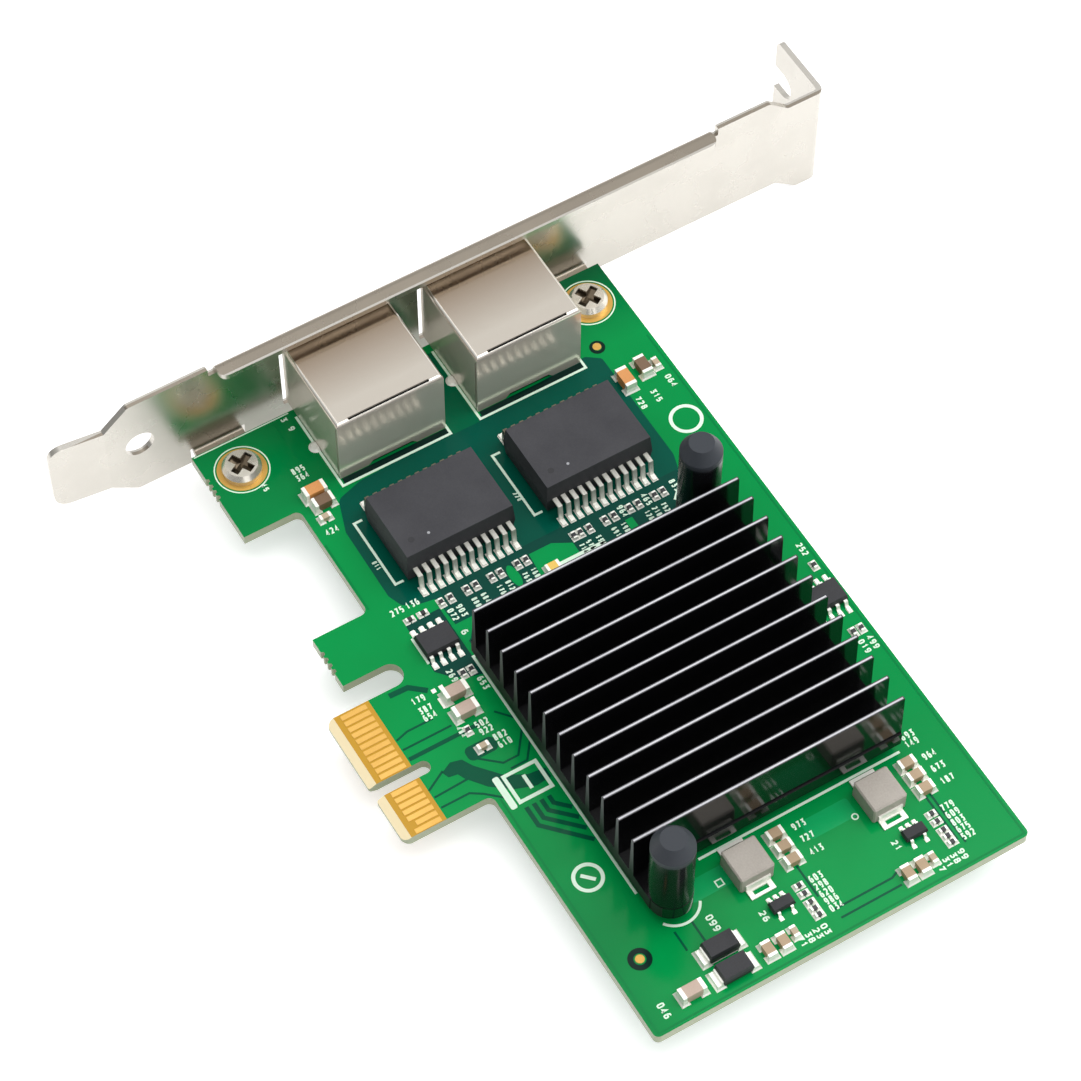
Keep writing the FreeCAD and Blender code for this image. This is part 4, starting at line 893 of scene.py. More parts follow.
class PadField:
    """Geometry Nodes tree that sets a pad or a drop of solder on every point.

    Each point carries its pad's size in the vector attribute pad_size.

    Args:
        name: the tree's name.
        shape: what stands on each point.
    """

    def __init__(self, name: str, shape: PadShape) -> None:
        """Build the tree."""
        self.tree = bpy.data.node_groups.new(name, "GeometryNodeTree")
        face = self.tree.interface
        face.new_socket("Geometry", in_out="INPUT", socket_type="NodeSocketGeometry")
        face.new_socket("Pad Thickness", in_out="INPUT", socket_type="NodeSocketFloat")
        face.new_socket("Finish", in_out="INPUT", socket_type="NodeSocketMaterial")
        face.new_socket("Geometry", in_out="OUTPUT", socket_type="NodeSocketGeometry")
        net = Net(self.tree)
        given = net.add("NodeGroupInput")
        turn = 0.0
        if shape is PadShape.SQUARE:
            pad = net.add("GeometryNodeMeshCylinder", {"Vertices": shape.value, "Radius": math.sqrt(0.5),
                                                       "Depth": 1.0})
            turn = math.pi / shape.value
        else:
            pad = net.add("GeometryNodeMeshUVSphere", {"Segments": shape.value, "Rings": shape.value // 2,
                                                       "Radius": 0.5})
        turned = net.add("GeometryNodeTransform", {"Geometry": pad.outputs["Mesh"], "Rotation": (0, 0, turn)})
        size = net.add("GeometryNodeInputNamedAttribute", {"Name": "pad_size"}, data_type="FLOAT_VECTOR")
        split = net.add("ShaderNodeSeparateXYZ", {0: size.outputs[0]})
        scale = net.add("ShaderNodeCombineXYZ", {0: split.outputs[0], 1: split.outputs[1],
                                                 2: given.outputs["Pad Thickness"]})
        placed = net.add("GeometryNodeInstanceOnPoints", {
            "Points": given.outputs["Geometry"], "Instance": turned.outputs[0], "Scale": scale.outputs[0]})
        real = net.add("GeometryNodeRealizeInstances", {0: placed.outputs[0]})
        dressed = net.add("GeometryNodeSetMaterial", {"Geometry": real.outputs[0],
                                                      "Material": given.outputs["Finish"]})
        net.add("NodeGroupOutput", {0: dressed.outputs[0]})

    def lay(self, name: str, pads: Sequence[Pad], top: float, thickness: float, material: Material) -> bpy.types.Object:
        """Lay pads on the board.

        Args:
            name: the piece's name.
            pads: x, y, width and length of each, in millimetres.
            top: height of the pads' top face.
            thickness: thickness of the pads.
            material: their finish.

        Returns:
            One plain mesh object that holds them all.
        """
        mesh = bpy.data.meshes.new(name + "_points")
        mesh.from_pydata([(x * MM, y * MM, (top - thickness / 2) * MM) for x, y, _, _ in pads], [], [])
        sizes = mesh.attributes.new("pad_size", "FLOAT_VECTOR", "POINT")
        for i, (_, _, width, length) in enumerate(pads):
            sizes.data[i].vector = (width * MM, length * MM, 1.0)
        points = scene_object(name + "_points", mesh)
        modifier = points.modifiers.new("pads", "NODES")
        modifier.node_group = self.tree
        keys = {s.name: s.identifier for s in self.tree.interface.items_tree if s.in_out == "INPUT"}
        modifier[keys["Pad Thickness"]] = thickness * MM
        modifier[keys["Finish"]] = material
        graph = bpy.context.evaluated_depsgraph_get()
        result = bpy.data.meshes.new_from_object(points.evaluated_get(graph))
        result.name = name
        if "pad_size" in result.attributes:
            result.attributes.remove(result.attributes["pad_size"])
        points.modifiers.clear()
        bpy.data.objects.remove(points)
        return solid_object(name, result, material)


# ---------------------------------------------------------------- finishes of this card
MASK = {"roughness": 0.12, "roughness_high": 0.16, "specular": 0.1, "grain_depth": 0.000001}
TIN = {"metallic": 0.3, "roughness": 0.28, "roughness_high": 0.42, "grain_scale": 3000.0}
CERAMIC = {"roughness": 0.42, "roughness_high": 0.52, "grain_depth": 0.000002}

# Each key is a material slot of the record, or what a fine piece or a special node asks for.
FINISHES: dict[str, Finish] = {
    "board": SolderMask("green_solder_mask", srgb(0, 144, 70), srgb(0, 138, 66), smudge_scale=60.0, **MASK),
    "plated_steel": BracketSteel(
        "nickel_plated_sheet", srgb(206, 202, 194), srgb(198, 194, 186), metallic=1.0, roughness=0.26,
        roughness_high=0.3, grain_depth=0.0000001, line_depth=0.0000002),
    "shell_nickel": ShellSteel(
        "bright_nickel_shell", srgb(226, 218, 206), srgb(216, 208, 196), metallic=1.0, roughness=0.13,
        roughness_high=0.18, grain_depth=0.0000004, line_depth=0.0000004),
    "screw_steel": ScrewSteel(
        "screw_nickel", srgb(236, 230, 218), srgb(220, 214, 204), metallic=0.85, roughness=0.24,
        roughness_high=0.32, grain_depth=0.000001),
    "gold": Finish("gold_plate", srgb(216, 172, 90), srgb(204, 158, 76), metallic=0.7, roughness=0.3,
                   roughness_high=0.42, grain_depth=0.000001),
    "tin": Finish("solder_tin", srgb(252, 252, 244), srgb(236, 236, 226), grain_depth=0.000003, **TIN),
    "lead_tin": LeadTin("lead_tin", srgb(252, 252, 244), srgb(236, 236, 226), **TIN),
    "black_aluminium": Anodised("black_anodised", srgb(13, 13, 15), srgb(9, 9, 11), roughness=0.1,
                                roughness_high=0.14, grain_depth=0.0000006),
    "black_plastic": PinNylon("black_nylon", srgb(18, 18, 21), srgb(12, 12, 14), roughness=0.2,
                              roughness_high=0.26, specular=0.24, grain_depth=0.000001),
    "transformer_mould": Finish("moulded_epoxy", srgb(62, 62, 66), srgb(54, 54, 58), roughness=0.6,
                                roughness_high=0.7, grain_scale=5000.0, grain_depth=0.000006, specular=0.3),
    "mould_black": Finish("small_moulded_epoxy", srgb(50, 50, 54), srgb(42, 42, 44), grain_scale=6000.0,
                          grain_depth=0.000004, specular=0.3),
    "thermal_rubber": Finish("thermal_rubber", srgb(170, 172, 176), srgb(150, 152, 156), roughness=0.8,
                             roughness_high=0.9),
    "ferrite_grey": Finish("pressed_ferrite", srgb(176, 169, 160), srgb(160, 153, 144),
                           roughness_high=0.62, grain_scale=4000.0, grain_depth=0.000006),
    "orange_ceramic": Finish("orange_ceramic", srgb(216, 150, 84), srgb(200, 134, 72), **CERAMIC),
    "tan_ceramic": Finish("pink_tan_ceramic", srgb(194, 173, 158), srgb(180, 158, 142), **CERAMIC),
    "brown_ceramic": Ceramic("tan_and_brown_ceramic", srgb(178, 154, 124), srgb(164, 140, 110), **CERAMIC),
    "beige_ceramic": Finish("beige_ceramic", srgb(190, 172, 146), srgb(168, 150, 124), **CERAMIC),
    "resistor_black": Finish("resistor_glaze", srgb(30, 34, 38), srgb(22, 24, 28), roughness=0.3,
                             roughness_high=0.4),
    "amber_plastic": Finish("amber_resin", srgb(244, 206, 92), srgb(230, 184, 70), roughness=0.3,
                            roughness_high=0.4, coat=0.5),
    # Painted highlight on the fin tips.
    "worn_edge": Finish("painted_fin_tip_highlight", srgb(206, 206, 210), srgb(176, 176, 182), roughness=0.35,
                        roughness_high=0.5),
    "ink": Finish("silk_ink", srgb(226, 246, 228), srgb(214, 240, 218), roughness=0.55,
                  roughness_high=0.65, specular=0.2),
    "bare_mask": Finish("mask_without_copper", srgb(0, 82, 66), srgb(0, 76, 60), **MASK),
    "strip_mask": Finish("mask_over_strip", srgb(10, 72, 60), srgb(8, 66, 56), **MASK),
    "teal_mask": Finish("teal_mask", srgb(0, 100, 66), srgb(0, 92, 62), **MASK),
    "channel_mask": Finish("mask_between_traces", srgb(0, 84, 58), srgb(0, 78, 54), **MASK),
    "trace_mask": Finish("mask_over_trace", srgb(0, 126, 64), srgb(0, 120, 60), **MASK),
    "island_mask": Finish("mask_over_copper", srgb(0, 150, 76), srgb(0, 144, 72), **MASK),
    "pale_mask": Finish("mask_over_plane", srgb(14, 158, 90), srgb(10, 152, 84), **MASK),
    # Clearance rings round the fiducials, and painted shadow bands along the jack shells' rear plates.
    "dark_ring": Finish("clearance_ring_and_painted_shadow", srgb(8, 40, 34), srgb(6, 36, 30), **MASK),
}
# Nodes whose names start so take this finish instead of their slot's.
SPECIAL_NODES = {"transformer_body": "transformer_mould", "transformer_leads": "lead_tin"}


class Finishes:
    """Every finish on the card, built once and kept by its key.

    Args:
        effects: the shared shader groups.
    """

    def __init__(self, effects: Effects) -> None:
        """Build every finish."""
        self.made = {key: finish.build(effects) for key, finish in FINISHES.items()}

    def __getitem__(self, key: str) -> Material:
        """Material of a slot or of a fine piece's key."""
        return self.made[key]

    def dress_frame(self) -> None:
        """Give every node of the frame its finish."""
        for part in frame["record"]["subparts"]:
            keys = [key for start, key in SPECIAL_NODES.items() if part["node"].startswith(start)]
            material = self[keys[0] if keys else part["material_slot"]]
            obj = frame["nodes"][part["node"]]
            obj.data.materials.clear()
            obj.data.materials.append(material)
            log.info("frame node %s: %s", part["node"], material.name)


# ---------------------------------------------------------------- board artwork
@dataclass
class BoardArtwork:
    """Ink, copper-free zones, traces and numbers on the board's component face.

    Heights are above the board's face and widths along it, all in millimetres. Films that meet
    differ in height, and so do the lines of one film, by line_step for each of line_layers.
    """
    finishes: Finishes
    zone_top: float = 0.012
    upper_zone_top: float = 0.014
    island_top: float = 0.016
    trace_top: float = 0.02
    ink_top: float = 0.03
    line_step: float = 0.0004
    line_layers: int = 4
    trace_width: float = 0.3
    power_widths: tuple[float, float] = (0.6, 0.8)
    fan_width: float = 0.62
    fan_x: float = 11.6
    fan_end_y: float = 20.6
    edge_width: float = 0.27
    ink_width: float = 0.36
    thin_ink: float = 0.18
    wide_ink: float = 0.5
    screw_ring: float = 3.7
    number_size: tuple[float, float] = (1.85, 1.0)
    mark_sink: float = 0.01
    mark_rise: float = 0.008

    def _piece(self, name: str, top: float, finish: str, outlines: Iterable[Sequence[Point]] = (),
               lines: Iterable[tuple[float, Sequence[Point]]] = ()) -> None:
        """Thin film on the board.

        Args:
            name: the piece's name.
            top: height of its top face.
            finish: key of its finish.
            outlines: filled outlines, counter-clockwise.
            lines: width and points of each line.
        """
        bm = bmesh.new()
        for outline in outlines:
            add_slab(bm, outline, 0.0, top)
        for k, (width, points) in enumerate(lines):
            add_ribbon(bm, points, width, 0.0, top + self.line_step * (k % self.line_layers))
        solid_object(name, finished_mesh(bm, name), self.finishes[finish])

    def zones(self) -> None:
        """Copper-free zones, which look darker through the mask, copper islands in them, and painted shadow bands along
        the jack shells.
        """
        magnetics = [(-41.0, 18.0, 1.4), (-36.0, 16.3, 0.8), (-24.5, 16.2, 0.8), (-22.4, 17.0, 0.6),
                     (-21.4, 19.0, 0.6), (-21.0, 21.3, 0.3), (-17.0, 21.5, 0.0), (-11.5, 21.9, 0.0),
                     (-11.5, 56.0, 0.0), (-24.5, 59.9, 0.8), (-42.8, 59.9, 0.6), (-44.2, 58.0, 0.6),
                     (-43.0, 40.0, 0.0), (-42.2, 22.0, 0.0)]
        strip = [(-22.2, 22.4, 0.3), (-16.6, 22.0, 0.3), (-16.6, 58.2, 0.3), (-22.2, 59.0, 0.3)]
        memory = [(-19.5, 15.9, 0.3), (-11.5, 15.6, 0.4), (-9.6, 17.2, 0.4), (-8.6, 18.9, 0.4),
                  (-8.0, 21.0, 0.2), (-19.5, 21.0, 0.2)]
        small = [(0.3, 12.9, 0.8), (2.5, 12.9, 0.8), (2.5, 17.2, 0.8), (0.3, 17.2, 0.8)]
        between = [(-55.5, 36.35, 0.0), (-42.3, 36.35, 0.0), (-42.3, 40.45, 0.0), (-55.5, 40.45, 0.0)]
        for name, top, finish, corners in (
                ("copper_free_zones", self.zone_top, "bare_mask", magnetics),
                ("strip_zone", self.upper_zone_top, "strip_mask", strip),
                ("chip_zones", self.zone_top, "strip_mask", memory),
                ("capacitor_zone", self.zone_top, "channel_mask", small),
                ("teal_zone", self.upper_zone_top, "teal_mask", between)):
            self._piece(name, top, finish, [rounded(corners)])
        # Painted shadow: dark bands on the board along the jack shells' rear plates.
        bands = [[(-43.7, y), (-42.75, y), (-42.75, y + 16.0), (-43.7, y + 16.0)] for y in (20.0, 41.1)]
        self._piece("shell_shadow_bands", self.island_top, "dark_ring", bands)
        islands = [[(-20.7, 35.2), (-17.0, 34.9), (-17.0, 41.1), (-19.3, 41.1), (-20.7, 38.6)],
                   [(-16.3, 20.95), (-13.0, 21.3), (-13.5, 22.2), (-16.3, 24.3)],
                   [(-18.8, 48.8), (-17.2, 48.8), (-17.2, 49.9), (-18.8, 49.9)],
                   [(-18.8 + 1.8 * math.cos(t / 12 * math.pi), 31.9 + 0.7 * math.sin(t / 12 * math.pi))
                    for t in range(24)]]
        self._piece("copper_islands", self.island_top, "island_mask", islands)
        planes = [rounded([(31.0, y, 0.4), (33.9, y, 0.4), (33.9, y + 7.0, 0.4), (31.0, y + 7.0, 0.4)])
                  for y in (43.8, 26.4)]
        self._piece("copper_planes", self.zone_top, "pale_mask", planes)

    def traces(self) -> None:
        """Channels and traces that show through the mask."""
        channel = [(1.9, 9.0), (2.9, 9.4), (3.1, 10.6), (4.0, 11.0), (6.6, 13.0), (8.6, 15.6), (9.6, 18.4),
                   (9.4, 20.6), (7.9, 20.6), (7.6, 18.2), (6.2, 15.6), (3.0, 12.9), (1.5, 12.1), (1.1, 10.6)]
        thin = [[(1.7, 9.2), (3.3, 6.3)], [(4.3, 11.6), (4.5, 6.4)],
                [(6.2, 6.4), (6.2, 10.5), (7.2, 12.0), (9.6, 14.6)],
                [(-5.6, 12.0), (-5.6, 8.2), (-5.1, 6.4)], [(-3.5, 13.5), (-3.5, 6.4)],
                [(-0.5, 20.9), (-2.5, 19.2)], [(1.6, 20.9), (4.6, 18.6), (4.6, 16.4), (1.6, 13.0)],
                [(3.6, 20.9), (5.8, 19.2), (5.8, 16.8)],
                [(36.0, 60.2), (44.0, 60.2)], [(36.0, 59.5), (43.2, 59.5)],
                [(43.5, 41.0), (43.5, 49.5), (42.7, 51.5)], [(44.9, 41.0), (44.9, 50.0)],
                [(36.0, 40.2), (41.0, 40.2)], [(35.8, 24.9), (39.0, 24.9)], [(36.0, 22.3), (39.0, 22.3)]]
        power = [[(-1.9, 17.0), (-1.9, 6.4)], [(-9.5, 13.5), (-11.2, 11.5), (-11.3, 8.8)]]
        turns = ((15.6, 14.6, 19.9), (16.7, 14.0, 18.0), (17.8, 13.4, 16.2), (18.9, 12.8, 14.5))
        fan = [[(self.fan_x, y), (turn, y), (end, self.fan_end_y)] for y, turn, end in turns]
        lines = [(self.trace_width, line) for line in thin] + list(zip(self.power_widths, power))
        lines += [(self.fan_width, line) for line in fan]
        self._piece("channels", self.trace_top, "channel_mask", [channel], lines)
        rim = [[(8.9, 13.4), (46.7, 13.4), (46.7, 67.2), (-43.0, 67.2)], [(-41.4, 16.6), (-56.3, 16.6)],
               [(-35.6, 13.0), (-24.0, 13.0)]]
        self._piece("edge_lines", self.trace_top, "trace_mask", lines=[(self.edge_width, line) for line in rim])

    def ink(self) -> None:
        """Outlines round the parts and plain shapes."""
        lines: list[Sequence[Point]] = [
            [(-10.9, 21.7), (-10.9, 21.05), (29.1, 21.05)], [(28.98, 30.2), (28.98, 60.3)],
            [(-17.3, 15.6), (-12.9, 15.6)], [(-22.5, 59.7), (-20.2, 58.2), (-18.2, 56.2)],
            arc(32.45, 24.4, 3.3, -55, 62)]
        lines += [[(-36.6, y + 1.2), (-36.6, y), (-25.6, y), (-25.6, y + 1.2)]
                  for y in (17.9, 17.9 + PORT_PITCH)]
        lines += [[(-55.6, low), (-42.6, low), (-42.6, high), (-55.6, high)]
                  for low, high in ((19.6, 36.1), (40.7, 57.2))]
        thin = [[(-56.65, 4.7), (-56.65, 19.0)]]
        thin += [arc(SCREW_X, y, self.screw_ring, count=40) for y in SCREW_YS]
        thin += [[(32.65, 30.25), (33.55, 30.25), (33.55, 31.15), (32.65, 31.15), (32.65, 30.25)],
                 arc(33.9, 50.3, 0.4, count=16)]
        wide = [arc(-28.5, 64.4, 2.1, count=36), arc(24.1, 17.1, 1.85, count=36),
                [(23.4, 16.4), (24.8, 17.8)],
                [(6.4, 15.3), (10.6, 15.3), (10.6, 20.0), (6.4, 20.0), (6.4, 15.3)],
                [(7.4, 17.65), (9.6, 17.65)]]
        outlines = [rounded([(5.9, 13.85, 0.3), (11.1, 13.85, 0.3), (11.1, 14.75, 0.3), (5.9, 14.75, 0.3)]),
                    [(-17.6, 37.4), (-17.0, 37.4), (-17.0, 44.9), (-17.6, 44.9)]]
        self._piece("silk_outlines", self.ink_top, "ink", outlines, [
            (width, line) for width, group in ((self.ink_width, lines), (self.thin_ink, thin),
                                               (self.wide_ink, wide)) for line in group])

    def numbers(self) -> None:
        """Plain numbers beside the parts."""
        along_x = [((-6.9, 20.2), (2.0, 0.9)), ((-9.85, 17.3), (1.9, 0.9)), ((-2.0, 14.1), (1.6, 0.7)),
                   ((-14.7, 22.0), (0.7, 0.95)), ((-17.75, 23.35), (1.9, 0.9)), ((-17.75, 22.05), (1.9, 0.9)),
                   ((-3.0, 66.4), (2.0, 0.9)), ((13.6, 66.5), (2.1, 0.9)), ((13.6, 65.2), (2.1, 0.9)),
                   ((-34.9, 66.0), (2.1, 0.9)), ((-33.8, 63.0), (2.1, 0.9)), ((-33.8, 60.6), (2.1, 0.9)),
                   ((-29.4, 17.2), (1.4, 0.7)), ((-29.3, 38.6), (1.4, 0.7)), ((-47.7, 10.6), (1.2, 0.8)),
                   ((-56.0, 18.0), (0.6, 0.9)), ((-54.2, 18.2), (0.6, 0.9)), ((37.4, 27.05), (2.4, 1.0)),
                   ((39.85, 33.0), (1.5, 0.9)), ((44.45, 15.55), (2.2, 1.0)), ((39.95, 52.5), (1.4, 0.9))]
        columns = ((-17.85, (1.5, 0.8), (34.5, 33.2, 30.7, 29.35, 27.0, 25.6, 54.5, 53.2, 52.0, 48.3, 46.9,
                                         44.5, 43.0, 41.9)),
                   (-20.2, (1.9, 0.9), (57.4, 53.0, 49.3)),
                   (45.2, (1.5, 0.9), (35.1, 36.25, 37.4, 38.55, 55.5, 56.65, 57.8, 58.95)))
        along_x += [((x, y), size) for x, size, column in columns for y in column]
        along_y = [(-21.9, 16.0), (-21.9, 18.3), (-8.95, 11.75), (-7.3, 11.85), (-6.1, 11.85), (-1.9, 17.0),
                   (-0.7, 17.0), (0.85, 18.1), (2.1, 18.1), (-47.95, 15.7), (-46.7, 15.7), (-37.2, 14.9),
                   (27.4, 62.5), (28.6, 62.4)]
        coils, switches = (31.2, 33.2, 35.3), (38.5, 39.7, 40.9, 42.05, 43.2)
        along_y += [(x, y) for y, row in ((63.3, coils), (43.6, coils), (61.1, switches), (41.4, switches))
                    for x in row]
        stamp = NumberStamp()
        bm = bmesh.new()
        for place, size in along_x:
            stamp.stamp(bm, place, size, Axis.X, self.ink_top)
        for place in along_y:
            stamp.stamp(bm, place, self.number_size, Axis.Y, self.ink_top)
        solid_object("part_numbers", finished_mesh(bm, "part_numbers"), self.finishes["ink"])

    def rings(self) -> None:
        """Dark clearance rings round the fiducials."""
        rings = [(0.75, arc(37.0, 16.7, 1.18, count=32)), (0.5, arc(-44.7, 60.3, 0.85, count=28))]
        self._piece("fiducial_rings", self.trace_top, "dark_ring", lines=rings)

    def mould_marks(self) -> None:
        """Pin-one dots on the transformers: a dark disc, painted shade of an ejector dimple, and a pale dot."""
        top = max(v[2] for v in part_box("transformer_body_1")) / MM
        # The dark discs are painted shade of the ejector dimples.
        for name, x, y, radius, finish in (("ejector_dimple_shade", -27.3, 21.4, 0.45, "mould_black"),
                                           ("pin_one_dots", -27.1, 23.9, 0.2, "thermal_rubber")):
            bm = bmesh.new()
            for shift in (0.0, PORT_PITCH):
                add_slab(bm, arc(x, y + shift, radius)[:-1], top - self.mark_sink, top + self.mark_rise)
            solid_object(name, finished_mesh(bm, name), self.finishes[finish])

    def build(self) -> None:
        """Make all artwork."""
        self.zones()
        self.traces()
        self.ink()
        self.numbers()
        self.rings()
        self.mould_marks()


# ---------------------------------------------------------------- solder
@dataclass
class Solder:
    """Pads under leads, skirts of solder round chip ends, and drops under the board.

    A skirt reaches skirt_reach past its chip, and further by skirt_slope of the chip's height. It
    closes on the chip at skirt_rise of that height. Its waist is the share of that rise and of
    the reach where it turns steeper.
    """
    finishes: Finishes
    pad_top: float = 0.05
    pad_sink: float = 0.01
    skirt_reach: float = 0.2
    skirt_slope: float = 0.12
    skirt_rise: float = 0.5
    skirt_waist: tuple[float, float] = (0.35, 0.45)
    skirt_closing: float = 0.01
    tallest_fillet: float = 1.3
    toe: float = 0.12
    hidden_toe: float = 0.0
    foot_share: float = 0.6
    pin_depth: float = 0.05
    pin_spread: float = 0.7
    pin_drop: tuple[float, float] = (1.0, 1.0)
    tab_spread: float = 3.0
    tab_drop: tuple[float, float] = (2.0, 2.4)
    drop_height: float = 0.8

    def build(self) -> None:
        """Make skirts, pads and drops."""
        self.skirts()
        self.pads()
        self.joints_below()

    def _skirt(self, bm: BMesh, low: Vector, high: Vector) -> None:
        """Add a skirt round a box: wide at the board and closing on the box above it.

        Args:
            bm: the mesh that it goes to.
            low: the box's lowest corner, in metres.
            high: its highest corner.
        """
        height = min(high.z - low.z, self.tallest_fillet * MM)
        grow, rise = self.skirt_reach * MM + height * self.skirt_slope, height * self.skirt_rise
        level, waist = self.skirt_waist
        rings = [[bm.verts.new(v) for v in (
            (low.x - out, low.y - out, z), (high.x + out, low.y - out, z),
            (high.x + out, high.y + out, z), (low.x - out, high.y + out, z))]
            for z, out in ((0.0, grow), (rise * level, grow * waist), (rise, self.skirt_closing * MM))]
        bm.faces.new(rings[0][::-1])
        bm.faces.new(rings[-1])
        add_walls(bm, rings)

    def skirts(self) -> None:
        """Skirts round the ends of the capacitors, resistors and diodes."""
        bm = bmesh.new()
        for node in ("capacitor_ends", "resistor_ends", "diode_straps"):
            for low, high in solids_of(node):
                self._skirt(bm, low, high)
        solid_object("solder_skirts", finished_mesh(bm, "solder_skirts"), self.finishes["tin"])

    def pads(self) -> None:
        """Pads under the leads, and a few bare ones."""
        pads: list[Pad] = []
        margins = {"transformer_leads_1": 0.25, "transformer_leads_2": 0.25, "memory_chip_leads": 0.25,
                   "edge_chip_leads": 0.16, "regulator_leads": 0.2}
        for node, margin in margins.items():
            leads = solids_of(node)
            middle = sum((low.x + high.x) / 2 for low, high in leads) / len(leads)
            for low, high in leads:
                side = 1 if low.x > middle else -1
                tip = (high.x if side > 0 else low.x) / MM
                reach = (high.x - low.x) / MM * self.foot_share
                toe = self.toe if side > 0 else self.hidden_toe
                pads.append((tip - side * (reach / 2 - toe), (low.y + high.y) / 2 / MM,
                             reach, (high.y - low.y) / MM + margin))
        pads += [(-6.95, 14.2, 1.7, 0.6), (-4.25, 14.25, 1.7, 0.6), (-9.05, 15.2, 0.6, 0.6),
                 (-9.05, 14.1, 0.6, 0.6), (42.1, 25.75, 0.14, 4.5)]
        PadField("square_pads", PadShape.SQUARE).lay("lead_pads", pads, self.pad_top,
                                                     self.pad_top + self.pad_sink, self.finishes["tin"])

    def joints_below(self) -> None:
        """Drops of solder under the board, where the jacks' pins and shells come through."""
        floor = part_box("circuit_board")[0][2] / MM
        joints: list[Pad] = []
        for number in (1, 2):
            for node, spread, size in (("port_contacts_%d", self.pin_spread, self.pin_drop),
                                       ("port_shell_%d", self.tab_spread, self.tab_drop)):
                joints += [(x, y, *size) for x, y in self.pins_through(node % number, floor, spread)]
        PadField("solder_drops", PadShape.DROP).lay("joints_below", joints, floor + self.drop_height / 2,
                                                    self.drop_height, self.finishes["tin"])

    def pins_through(self, node: str, floor: float, spread: float) -> list[Point]:
        """Where the pins of a node come out below the board, in millimetres.

        Args:
            node: the frame node that holds the pins.
            floor: height of the board's lower face.
            spread: points closer together than this belong to one pin.

        Returns:
            Middle of each pin.
        """
        groups: list[list[Vector]] = []
        for vert in frame["nodes"][node].data.vertices:
            point = Vector(vert.co) / MM
            if point.z > floor - self.pin_depth:
                continue
            flat = point.to_2d()
            for group in groups:
                if (group[0] - flat).length < spread:
                    group.append(flat)
                    break
            else:
                groups.append([flat])
        return [tuple(sum(group, Vector((0.0, 0.0))) / len(group)) for group in groups]


# ---------------------------------------------------------------- painted highlights on the heat sink's fin tips
@dataclass
class FinTipHighlights:
    """Painted highlight: a bright line along the tip of each cooling fin."""
    finishes: Finishes
    width: float = 0.24
    thickness: float = 0.012
    end_gap: float = 0.15
    tip_band: float = 0.05
    fin_gap: float = 1.0

    def tips(self, top: float) -> list[tuple[float, float, float]]:
        """Where the fins' tips are, in millimetres.

        Args:
            top: height of the tips.

        Returns:
            Middle X, lowest Y and highest Y of each tip.
        """
        points = sorted((v.co.x / MM, v.co.y / MM) for v in frame["nodes"]["heat_sink"].data.vertices
                        if v.co.z / MM > top - self.tip_band)
        groups: list[list[Point]] = []
        for point in points:
            if groups and point[0] - groups[-1][-1][0] < self.fin_gap:
                groups[-1].append(point)
            else:
                groups.append([point])
        return [((group[0][0] + group[-1][0]) / 2, min(y for _, y in group), max(y for _, y in group))
                for group in groups]

    def build(self) -> None:
        """Make the lines."""
        bm = bmesh.new()
        top = max(v[2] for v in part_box("heat_sink")) / MM
        for x, low, high in self.tips(top):
            add_ribbon(bm, [(x, low + self.end_gap), (x, high - self.end_gap)], self.width,
                       top - self.thickness, top + self.thickness)
        solid_object("fin_tip_highlights", finished_mesh(bm, "fin_tip_highlights"), self.finishes["worn_edge"])


# ---------------------------------------------------------------- stage
@dataclass(frozen=True)
class Lamp:
    """Square panel of light that looks at the origin: metres and watts."""
    name: str
    place: Place
    size: float
    power: float


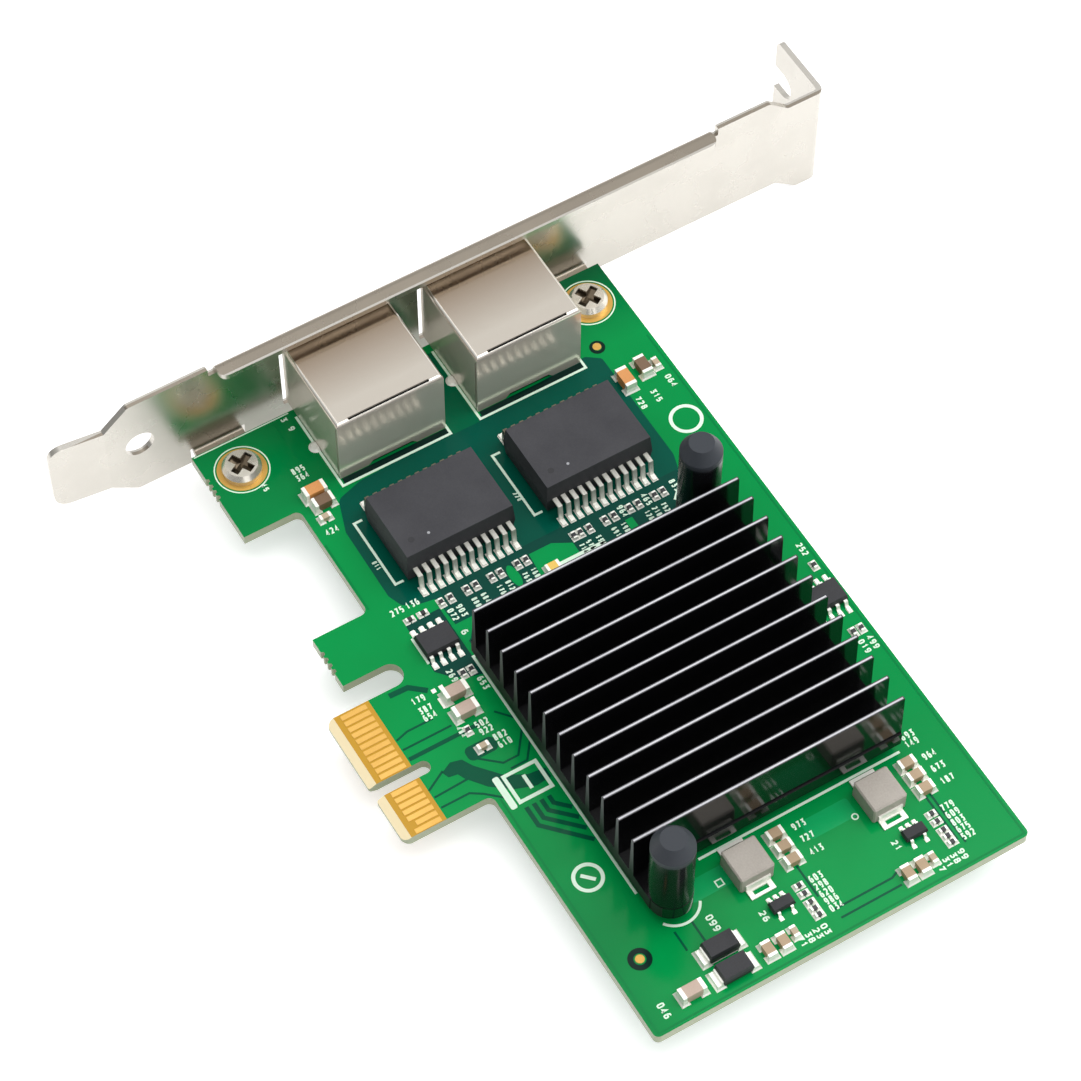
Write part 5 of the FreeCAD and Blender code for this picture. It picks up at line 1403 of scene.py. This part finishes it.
@dataclass
class Stage:
    """Floor, lights, world and camera. Lengths are in metres and angles in degrees.

    The world is brighter in the direction world_towards. world_span is how far a direction lies
    along it where the brightness is world_low and world_high.
    """
    camera_place: Place = (0.21248, -0.10233, 0.41940)
    camera_heading: float = 149.144
    camera_pitch: float = 56.949
    lens: float = 126.92
    sensor: float = 36.0
    clip_start: float = 0.01
    floor_size: float = 6.0
    floor_gap: float = 0.00002
    floor_tone: float = 0.84
    floor_roughness: float = 0.9
    floor_glow: float = 0.5
    world_low: float = 0.26
    world_high: float = 0.85
    world_towards: Place = (-0.25, 0.72, 0.65)
    world_span: tuple[float, float] = (-0.45, 0.7)
    lights: tuple[Lamp, ...] = (Lamp("key_panel", (0.05, 0.50, 0.70), 0.6, 2.8),
                                Lamp("top_panel", (-0.10, 0.05, 0.85), 0.7, 2.4),
                                Lamp("side_panel", (0.75, -0.05, 0.40), 0.5, 1.1))

    def floor(self) -> None:
        """Pale floor that shows white to the camera and in reflections."""
        half = self.floor_size / 2
        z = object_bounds()[0][2] - self.floor_gap
        mesh = bpy.data.meshes.new("studio_floor")
        mesh.from_pydata([(-half, -half, z), (half, -half, z), (half, half, z), (-half, half, z)], [],
                         [(0, 1, 2, 3)])
        material = bpy.data.materials.new("studio_floor")
        material.use_nodes = True
        net = Net(material.node_tree)
        net.tree.nodes.clear()
        path = net.add("ShaderNodeLightPath")
        seen = net.maths("MAXIMUM", path.outputs["Is Camera Ray"], path.outputs["Is Glossy Ray"])
        shader = net.add("ShaderNodeBsdfPrincipled", {
            "Base Color": (self.floor_tone, self.floor_tone, self.floor_tone, 1),
            "Roughness": self.floor_roughness, "Emission Color": (1, 1, 1, 1),
            "Emission Strength": net.maths("MULTIPLY", seen, self.floor_glow)})
        net.add("ShaderNodeOutputMaterial", {0: shader.outputs[0]})
        mesh.materials.append(material)
        obj = scene_object("studio_floor", mesh)
        obj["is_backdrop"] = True

    def lamps(self) -> None:
        """Soft panels and a pale world."""
        for lamp in self.lights:
            light = bpy.data.lights.new(lamp.name, "AREA")
            light.shape = "SQUARE"
            light.size = lamp.size
            light.energy = lamp.power
            obj = scene_object(lamp.name, light)
            obj.location = lamp.place
            obj.rotation_euler = (-Vector(lamp.place)).to_track_quat("-Z", "Y").to_euler()
        world = bpy.data.worlds.new("pale_studio")
        world.use_nodes = True
        net = Net(world.node_tree)
        direction = net.add("ShaderNodeTexCoord").outputs["Generated"]
        turned = net.add("ShaderNodeVectorMath", {0: direction, 1: self.world_towards}, operation="DOT_PRODUCT")
        background = world.node_tree.nodes["Background"]
        background.inputs[0].default_value = (1, 1, 1, 1)
        net.link(net.ramp(turned.outputs["Value"], *self.world_span, self.world_low, self.world_high),
                 background.inputs[1])
        bpy.context.scene.world = world

    def camera(self) -> None:
        """Camera over the far corner of the card."""
        heading, pitch = math.radians(self.camera_heading), math.radians(self.camera_pitch)
        view = Vector((math.cos(heading) * math.cos(pitch), math.sin(heading) * math.cos(pitch),
                       -math.sin(pitch)))
        data = bpy.data.cameras.new("camera")
        data.lens = self.lens
        data.sensor_width = self.sensor
        data.clip_start = self.clip_start
        obj = scene_object("camera", data)
        obj.location = self.camera_place
        obj.rotation_euler = view.to_track_quat("-Z", "Y").to_euler()
        bpy.context.scene.camera = obj

    def build(self) -> None:
        """Make the whole stage."""
        self.camera()
        self.lamps()
        self.floor()
        bpy.context.scene.view_settings.view_transform = "Standard"


def main() -> None:
    """Dress the frame, add the fine pieces and set the stage."""
    logging.basicConfig(level=logging.INFO, format="%(name)s: %(message)s")
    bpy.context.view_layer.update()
    Stage().build()
    finishes = Finishes(Effects())
    finishes.dress_frame()
    BoardArtwork(finishes).build()
    Solder(finishes).build()
    FinTipHighlights(finishes).build()


if __name__ == "__main__":
    main()
